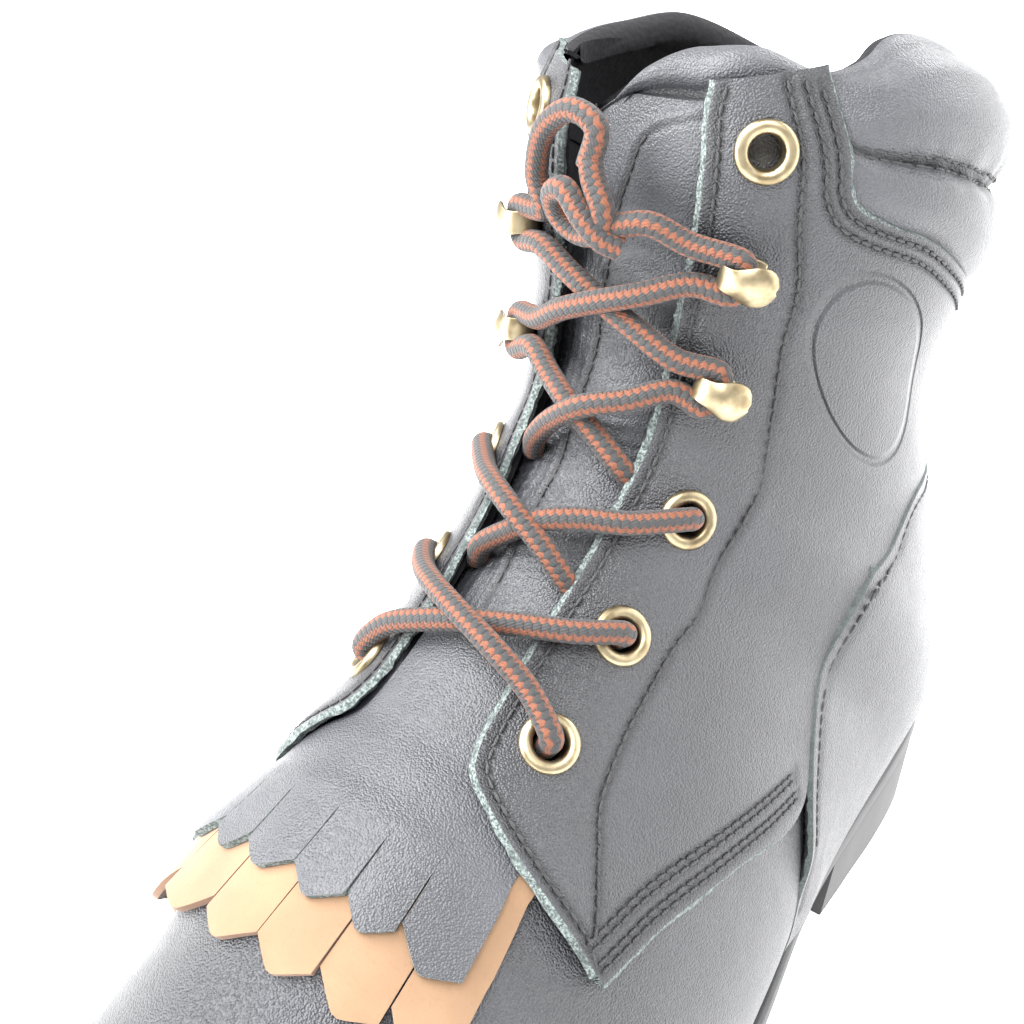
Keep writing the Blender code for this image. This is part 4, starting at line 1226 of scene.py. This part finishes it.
def rounded(top, bottom, radius, steps=5):
    """Levels of a plate's edge: top corner, side and bottom corner rounded by a radius."""
    turns = np.linspace(0, math.pi / 2, steps)
    upper = [(radius * math.sin(a) - radius, top, radius * math.cos(a) - radius) for a in turns]
    lower = [(radius * math.cos(a) - radius, bottom, radius - radius * math.sin(a)) for a in turns]
    return upper + lower


def make_sole():
    stations = np.linspace(0, HEEL_BACK, 150)
    reach = along(WELT_REACH, stations)
    levels = rounded(welt_top, lambda y: welt_top(y) - WELT_THICK, 1.1)
    dress(make_plate("welt_strip", stations, reach, levels, WELT_LEATHER), "black_leather", "welt")
    levels = rounded(outsole_top, outsole_bottom, 1.0)
    dress(make_plate("outsole_slab", stations, reach, levels, RUBBER), "black_rubber", "outsole")
    behind = np.linspace(HEEL_BREAST, HEEL_BACK, 90)
    reach = along(WELT_REACH, behind) - HEEL_INSET
    levels = rounded(lambda y: outsole_bottom(y) - PLATE_GAP, np.zeros_like, 0.5)
    steps = len(levels) // 2
    levels = levels[:steps] + [(side - HEEL_TAPER, height, shift) for side, height, shift in levels[steps:]]
    heel = make_plate("heel_block", behind, reach, levels, RUBBER)
    edit(heel, lambda: bpy.ops.mesh.fill_holes(sides=0))
    dress(heel, "black_rubber", "heel")
    inside = np.full(len(stations), -INSOLE_INSET)
    base = lambda y: along(FEATHER, y) + PLATE_GAP / 2
    levels = rounded(lambda y: base(y) + INSOLE_THICK, base, 0.9)
    dress(make_plate("insole_board", stations, inside, levels, BOARD), "insole_board", "insole")


make_sole()

# %% [markdown]
# ## Eyelets and hooks
#
# Four brass eyelets and two speed hooks go up each side. An eyelet could be a torus with its underside
# pressed flat; here a profile is turned round, so that the rolled top runs on into the barrel through the
# leather. A hook is a strip of brass bent back over itself: base, bend towards the throat, and a domed cap
# that flares away from it. Both are shaped at the origin and set on their seats.

# %% Brass fittings
EYELET_RADIUS, EYELET_HOLE, EYELET_HEIGHT = 5.65, 3.1, 1.15
HOOK_WALL, HOOK_BEVEL, HOOK_DOME, CAP_DROP = 0.9, 0.25, 1.15, 0.6
SEAT_LIFT = OVERLAY_FIT + QUARTER_WALL
HOOK_STRIP = (("way", "out", "height", "half"), (0.0, 3.6, 0.45, 2.2), (0.15, 1.6, 0.45, 2.8),
              (0.3, -2.0, 0.5, 2.6), (0.4, -3.5, 1.5, 2.4), (0.5, -4.0, 3.2, 2.3), (0.58, -3.6, 5.0, 2.2),
              (0.66, -2.4, 6.1, 2.2),
              (0.76, -0.3, 6.6, 2.8), (0.86, 1.6, 6.4, 3.4), (0.93, 3.2, 6.0, 3.2), (0.975, 4.3, 5.7, 2.3),
              (1.0, 5.0, 5.5, 0.6))


def seat(side, station, share):
    """A frame on the leather: X away from the throat, Y up the boot and Z outwards."""
    run, climb = slopes(side, np.float64(station), np.float64(share))
    out = outward(side, run, climb)
    away = unit(out * climb.dot(out) - climb)
    return np.stack([away, np.cross(out, away), out], -1), lifted(side, station, share, SEAT_LIFT)


def eyelet_form(rings=40, around=14):
    """Rows of an eyelet at the origin: rolled top, flat underside and barrel."""
    angles = np.linspace(0, 2 * math.pi, rings + 1)
    middle, half = (EYELET_RADIUS + EYELET_HOLE) / 2, (EYELET_RADIUS - EYELET_HOLE) / 2
    turns = np.linspace(0, math.pi, around)
    profile = [(middle + half * math.cos(a), EYELET_HEIGHT * math.sin(a) ** 0.8) for a in turns]
    barrel = EYELET_HOLE - 0.15
    profile = [(EYELET_RADIUS, -0.25)] + profile + [(barrel, -1.2), (barrel, -4.4)]
    rows = [[(r * math.cos(a), r * math.sin(a), z) for a in angles] for r, z in profile]
    return np.array(rows)


def hook_form(rows=46, columns=17):
    """Rows of a hook at the origin: a bent strip, domed across its cap."""
    way = np.linspace(0, 1, rows)
    out, height, half = along(HOOK_STRIP, way)
    over = np.linspace(-1, 1, columns)
    cap = smooth_step(0.55, 0.8, way)[:, None]
    grid = np.zeros((rows, columns, 3))
    grid[..., 0] = out[:, None]
    grid[..., 1] = half[:, None] * over[None, :]
    grid[..., 2] = height[:, None] - cap * CAP_DROP + cap * (1 - over[None, :] ** 2) * HOOK_DOME
    return grid


def make_fittings():
    for name, station, share in FITTINGS[1:]:
        for side, word in SIDES:
            turn, place = seat(side, station, share)
            hook = name.startswith("hook")
            form = hook_form() if hook else eyelet_form()
            piece = lay_grid(f"{name}_{word}_brass", form @ turn.T + place, not hook)
            if hook:
                wall(piece, HOOK_WALL)
                modify(piece, "BEVEL", width=HOOK_BEVEL * MM, segments=2, limit_method="ANGLE")
            piece = join([piece], 0.004)
            paint(piece, BRASS)
            dress(piece, "antique_brass", f"{name}_{word}", angle=50)


make_fittings()

# %% [markdown]
# ## The lace
#
# The lace comes out of the lowest eyelets, crosses from side to side, dives under the throat edges, goes
# through the hooks and ends in a knot with one loop. Each crossing is two tubes; the two free ends are
# cords that start at the upper hooks. A tube is a grid rolled round its route, without a twist.

# %% Lace tubes
LACE_RADIUS, LACE_SIDES, LACE_STEP, LACE_MERGE = 2.25, 20, 0.5, 0.002
CROSS_OVER, CROSS_UNDER = 1.9, -0.7
LACE_ENDS = {
    "lace_end_lateral": (1, ((14.4, 17.0, 4.75), (8.5, 17.2, 6.4), (3.0, 17.08, 7.0), (-2.0, 17.0, 7.2))),
    "lace_loop": (-1, ((-14.8, 17.0, 4.75), (-15.6, 17.5, 6.2), (-12.4, 18.1, 7.4), (-6.4, 18.4, 8.0),
                       (-1.4, 18.25, 7.6), (-2.6, 17.8, 7.2))),
}
LACE_KNOT = ((-0.8, 17.65, 8.2), (1.6, 17.3, 8.9), (0.6, 16.97, 8.0), (-4.2, 16.82, 6.2), (-8.4, 17.0, 6.8),
             (-8.6, 17.35, 8.6), (-5.0, 17.5, 10.0), (-1.4, 17.2, 10.4), (1.6, 16.9, 9.4), (4.2, 16.78, 7.4))


def smooth_path(points):
    """Even steps along a smooth curve through a route's points."""
    points = np.asarray(points, float)
    ahead = np.vstack([2 * points[0] - points[1], points, 2 * points[-1] - points[-2]])
    curve = []
    for k in range(1, len(ahead) - 2):
        a, b, c, d = ahead[k - 1:k + 3]
        for t in np.linspace(0, 1, 24, endpoint=False):
            curve.append(0.5 * (2 * b + (c - a) * t + (2 * a - 5 * b + 4 * c - d) * t * t
                                + (3 * b - a - 3 * c + d) * t**3))
    curve = np.array(curve + [points[-1]])
    reach = reach_along(curve)
    even = np.linspace(0, reach[-1], max(8, int(reach[-1] / LACE_STEP)))
    return np.stack([np.interp(even, reach, curve[:, k]) for k in range(3)], -1), reach[-1]


def braid(name, route, start=0.0):
    """One tube along a route, with turns in U and millimetres in V."""
    path, length = smooth_path(route)
    run = unit(np.gradient(path, axis=0))
    across = np.cross(run[0], [0.2, 0.3, 0.93])
    angles = np.linspace(0, 2 * math.pi, LACE_SIDES + 1)
    rings = [[path[0]] * len(angles)]
    for place, way in zip(path, run):
        across = unit(across - way * across.dot(way))
        up = np.cross(way, across)
        rings.append([place + LACE_RADIUS * (math.cos(a) * across + math.sin(a) * up) for a in angles])
    rings.append([path[-1]] * len(angles))
    piece = lay_grid(name, np.array(rings))
    coords = np.zeros(2 * len(piece.data.loops), np.float32)
    layer = piece.data.uv_layers[0]
    layer.name = "UVMap"
    layer.data.foreach_get("uv", coords)
    coords[1::2] = start + coords[1::2] * length
    layer.data.foreach_set("uv", coords)
    return piece, path, length


def fitting(name, side, away=0.0, up=0.0, out=0.0):
    """A point by a fitting: away from the throat, up the boot and out from the leather."""
    row = next(row for row in FITTINGS[1:] if row[0] == name)
    turn, place = seat(side, row[1], row[2])
    return place + turn @ np.array([away, up * side, out])


def through_eyelet(name, side, up=0.0):
    """From over an eyelet down through its hole."""
    return [fitting(name, side, -1, up, 2.2), fitting(name, side, 0, 0, -1), fitting(name, side, 0, 0, -5)]


def round_hook(name, side, up, out=3.2):
    """From beside a hook into the bend under its cap; up is below nought where the lace comes from below."""
    return [fitting(name, side, -1.6, up, out), fitting(name, side, -0.6, 0, 3.3)]


def bar(side, start, end, rise, count=5):
    """Points over the tongue from one side to the other."""
    points = []
    for t in np.linspace(0, 1, count):
        x = side * (start[0] + (-end[0] - start[0]) * t)
        lift = start[2] + (end[2] - start[2]) * smooth_step(0, 0.55, t) + 4 * t * (1 - t) * rise
        points.append(over_front(x, start[1] + (end[1] - start[1]) * t, lift))
    return points


def lace_rows():
    """Routes of each crossing, lateral start first."""
    rows = {f"lace_row_{number}": [] for number in (1, 2, 3, 4)}
    for side, _ in SIDES:
        over, under = (CROSS_OVER, CROSS_UNDER) if side > 0 else (CROSS_UNDER, CROSS_OVER)
        rows["lace_row_1"].append(
            through_eyelet("eyelet_1", side, 1)[::-1]
            + bar(side, (14.5, 7.8, 5.2), (15.0, 8.75, 5.2), over) + through_eyelet("eyelet_2", -side))
        rows["lace_row_2"].append(
            [over_front(side * 13.5, 9.45, -2.6)]
            + bar(side, (9.3, 9.7, 0.8), (13.6, 11.5, 5.2), over) + through_eyelet("eyelet_3", -side))
        rows["lace_row_3"].append(
            [over_front(side * 13.5, 12.6, -2.6)]
            + bar(side, (9.3, 12.9, 0.8), (13.1, 14.8, 4.85), under) + round_hook("hook_1", -side, -3.5))
        rows["lace_row_4"].append(
            round_hook("hook_1", side, 3.5)[::-1]
            + bar(side, (13.1, 15.35, 4.85), (14.6, 16.5, 4.85), under) + round_hook("hook_2", -side, -3.5))
    return rows


def make_lace():
    for name, routes in lace_rows().items():
        tubes = [braid(f"{name}_{k}", route)[0] for k, route in enumerate(routes)]
        piece = paint(join(tubes, LACE_MERGE), LACE)
        piece.name = name
        dress(piece, "lace_cord", name.replace("row", "cross"), angle=60)
    for name, (side, places) in LACE_ENDS.items():
        route = round_hook("hook_2", side, 3.0, 3.4)[::-1] + [over_front(*place) for place in places]
        piece, path, length = braid(name + "_braid", route)
        piece = paint(join([piece], LACE_MERGE), LACE)
        knot = ()
        if side < 0:
            turns = [path[-4]] + [over_front(*place) for place in LACE_KNOT]
            knot = (paint(join([braid("lace_knot", turns, length)[0]], LACE_MERGE), LACE),)
            dress(knot[0], "lace_cord", angle=60)
        dress(piece, "lace_cord", name, angle=60)
        print(name, "length, mm:", round(length, 1))


make_lace()

# %% [markdown]
# ## Stitches
#
# Every seam shows its thread. One stitch is modelled as a small capsule and copied along each seam, slightly
# sunk, so that thread and furrow catch the light together. Hundreds of separate objects would be slow, so all
# stitches of a panel are one mesh.

# %% Stitch rows
STITCH_LENGTH, STITCH_PITCH, STITCH_RADIUS, STITCH_REACH = 2.1, 2.7, 0.42, 0.8


def stitch_form():
    """A capsule along X at the origin, from a six-sided cylinder with drawn-in ends."""
    bpy.ops.object.select_all(action="DESELECT")
    bpy.ops.mesh.primitive_cylinder_add(vertices=6, radius=STITCH_RADIUS, depth=STITCH_LENGTH,
                                        end_fill_type="NGON", rotation=(0, math.pi / 2, 0))
    piece = bpy.context.object
    bpy.ops.object.transform_apply(rotation=True)
    edit(piece, lambda: bpy.ops.mesh.subdivide(number_cuts=1))
    points = np.array([vertex.co for vertex in piece.data.vertices])
    faces = [list(face.vertices) for face in piece.data.polygons]
    bpy.data.objects.remove(piece, do_unlink=True)
    taper = np.sqrt(np.clip(1 - (np.abs(points[:, 0]) / (STITCH_LENGTH / 2 * 1.15)) ** 2, 0, 1))
    points[:, 1:] *= taper[:, None]
    return points, faces


def read_row(at, reach, places):
    """A row's place at this reach."""
    return np.array([np.interp(at, reach, places[:, k]) for k in range(3)])


def sew(name, rows):
    """All stitches of some seams, each row given as places and outward directions."""
    form, form_faces = stitch_form()
    points, faces = [], []
    for places, outs in rows:
        reach = reach_along(places)
        for middle in np.arange(STITCH_PITCH / 2, reach[-1], STITCH_PITCH):
            at, out = read_row(middle, reach, places), read_row(middle, reach, outs)
            ahead, behind = (read_row(middle + way, reach, places) for way in (STITCH_REACH, -STITCH_REACH))
            run = unit(ahead - behind)
            out = unit(out - run * out.dot(run))
            frame_axes = np.stack([run, np.cross(out, run), out], -1)
            faces += [[len(points) + i for i in face] for face in form_faces]
            points += (form @ frame_axes.T + at).tolist()
    mesh = bpy.data.meshes.new(name)
    mesh.from_pydata(to_frame(points).tolist(), [], faces)
    piece = bpy.data.objects.new(name, mesh)
    bpy.context.scene.collection.objects.link(piece)
    return dress(paint(piece, THREAD), "black_leather", angle=80)


def sewn_row(side, line, lift):
    places = lifted(side, line[:, 0], line[:, 1], lift)
    return places, lifted(side, line[:, 0], line[:, 1], lift + 1.0) - places


print("faces of one stitch:", len(stitch_form()[1]))

# %% [markdown]
# ### Where the rows run
#
# Quarters and counter have their rows on the last, the collar's two rows go beside its channel, the tongue's
# row follows its seam, and the welt's row goes round the forefoot on its upper face.

# %% Sewn seams
QUARTER_SINK, COUNTER_SINK, TONGUE_RISE, WELT_RISE = 0.22, 0.34, 0.1, 0.05
COUNTER_SKIP, WELT_INSET = 30, 1.7


def sew_panels():
    for side, word in SIDES:
        rows = []
        for line in quarter_seams(side):
            lift = quarter_lift(line[:, 0], line[:, 1]) + QUARTER_WALL - QUARTER_SINK
            rows.append(sewn_row(side, line, lift))
        sew("quarter_" + word + "_stitches", rows)
    rows = []
    for side, _ in SIDES:
        line = counter_row(side)[COUNTER_SKIP:]
        rows.append(sewn_row(side, line, np.full(len(line), OVERLAY_FIT + COUNTER_WALL - COUNTER_SINK)))
    sew("counter_stitches", rows)
    sew("collar_stitches", COLLAR_SEAMS)


def sew_tongue():
    stations = np.linspace(9.2, 18.2, 400)
    seam_across, stretch = tongue_seam(stations)
    across = seam_across + TONGUE_ROW * stretch
    sink = tongue_sink(across, stations)[0] + TONGUE_RISE
    places = over_front(across, stations, sink)
    sew("tongue_stitches", [(places, over_front(across, stations, sink + 1.0) - places)])


def sew_welt():
    stations = np.linspace(0.15, 6.8, 300)
    rows = []
    for line in outline(stations, along(WELT_REACH, stations) - WELT_INSET):
        places = np.column_stack([line, welt_top(line[:, 1]) + WELT_RISE])
        rows.append((places, np.broadcast_to((0.0, 0.0, 1.0), places.shape)))
    sew("welt_stitches", rows)


sew_panels()
sew_tongue()
sew_welt()

# %% [markdown]
# ## Floor and light
#
# The photograph is high-key: a white ground and large soft lights, so black leather shows broad grey sheens.
# A pale floor that glows a little, a bright even sky and six soft boxes repeat that.

# %% Floor and lights
SOFT_BOXES = (
    ("name", "place", "aim", "size", "power"),
    ("top_box", (0.33, -0.47, 1.28), (0, 0, 0.1), 0.8, 34),
    ("side_box", (1.05, 0.75, 0.55), (0, 0, 0.1), 1.3, 22),
    ("front_box", (-0.855, -0.77, 0.964), (0, 0, 0.1), 1.5, 34),
    ("back_box", (0.1, 1.15, 0.7), (0.05, 0.5, 0.0), 0.9, 22),
    ("high_box", (-0.72, -0.3, 1.1), (0, 0, 0.1), 0.8, 34),
    ("low_box", (-0.8, -1.32, 0.5), (0, 0, 0.1), 0.8, 36),
)
FLOOR_SIZE, FLOOR_GLOW, SKY_STRENGTH = 80, 0.6, 1.0


def floor_finish():
    finish = Finish("pale_floor")
    tint = finish.mix(finish.noise(6), (0.93, 0.93, 0.93), (0.95, 0.95, 0.95))
    return finish.set(Base_Color=tint, Roughness=0.7, Emission_Color=(1.0, 1.0, 1.0),
                      Emission_Strength=FLOOR_GLOW)


def add_floor():
    bpy.ops.object.select_all(action="DESELECT")
    bpy.ops.mesh.primitive_plane_add(size=FLOOR_SIZE)
    floor = bpy.context.object
    floor.name = "floor"
    paint(floor, floor_finish())


def add_softbox(name, place, aim, size, power):
    bpy.ops.object.light_add(type="AREA", location=place)
    light = bpy.context.object
    light.name = name
    light.data.size = size
    light.data.energy = power
    light.rotation_euler = (Vector(place) - Vector(aim)).to_track_quat("Z", "Y").to_euler()


def add_lights():
    world = bpy.data.worlds.new("studio")
    world.use_nodes = True
    sky = world.node_tree.nodes["Background"]
    sky.inputs["Color"].default_value = (1, 1, 1, 1)
    sky.inputs["Strength"].default_value = SKY_STRENGTH
    bpy.context.scene.world = world
    for row in SOFT_BOXES[1:]:
        add_softbox(*row)
    bpy.context.scene.view_settings.view_transform = "Standard"


add_floor()
add_lights()
print("soft boxes:", len(SOFT_BOXES) - 1)
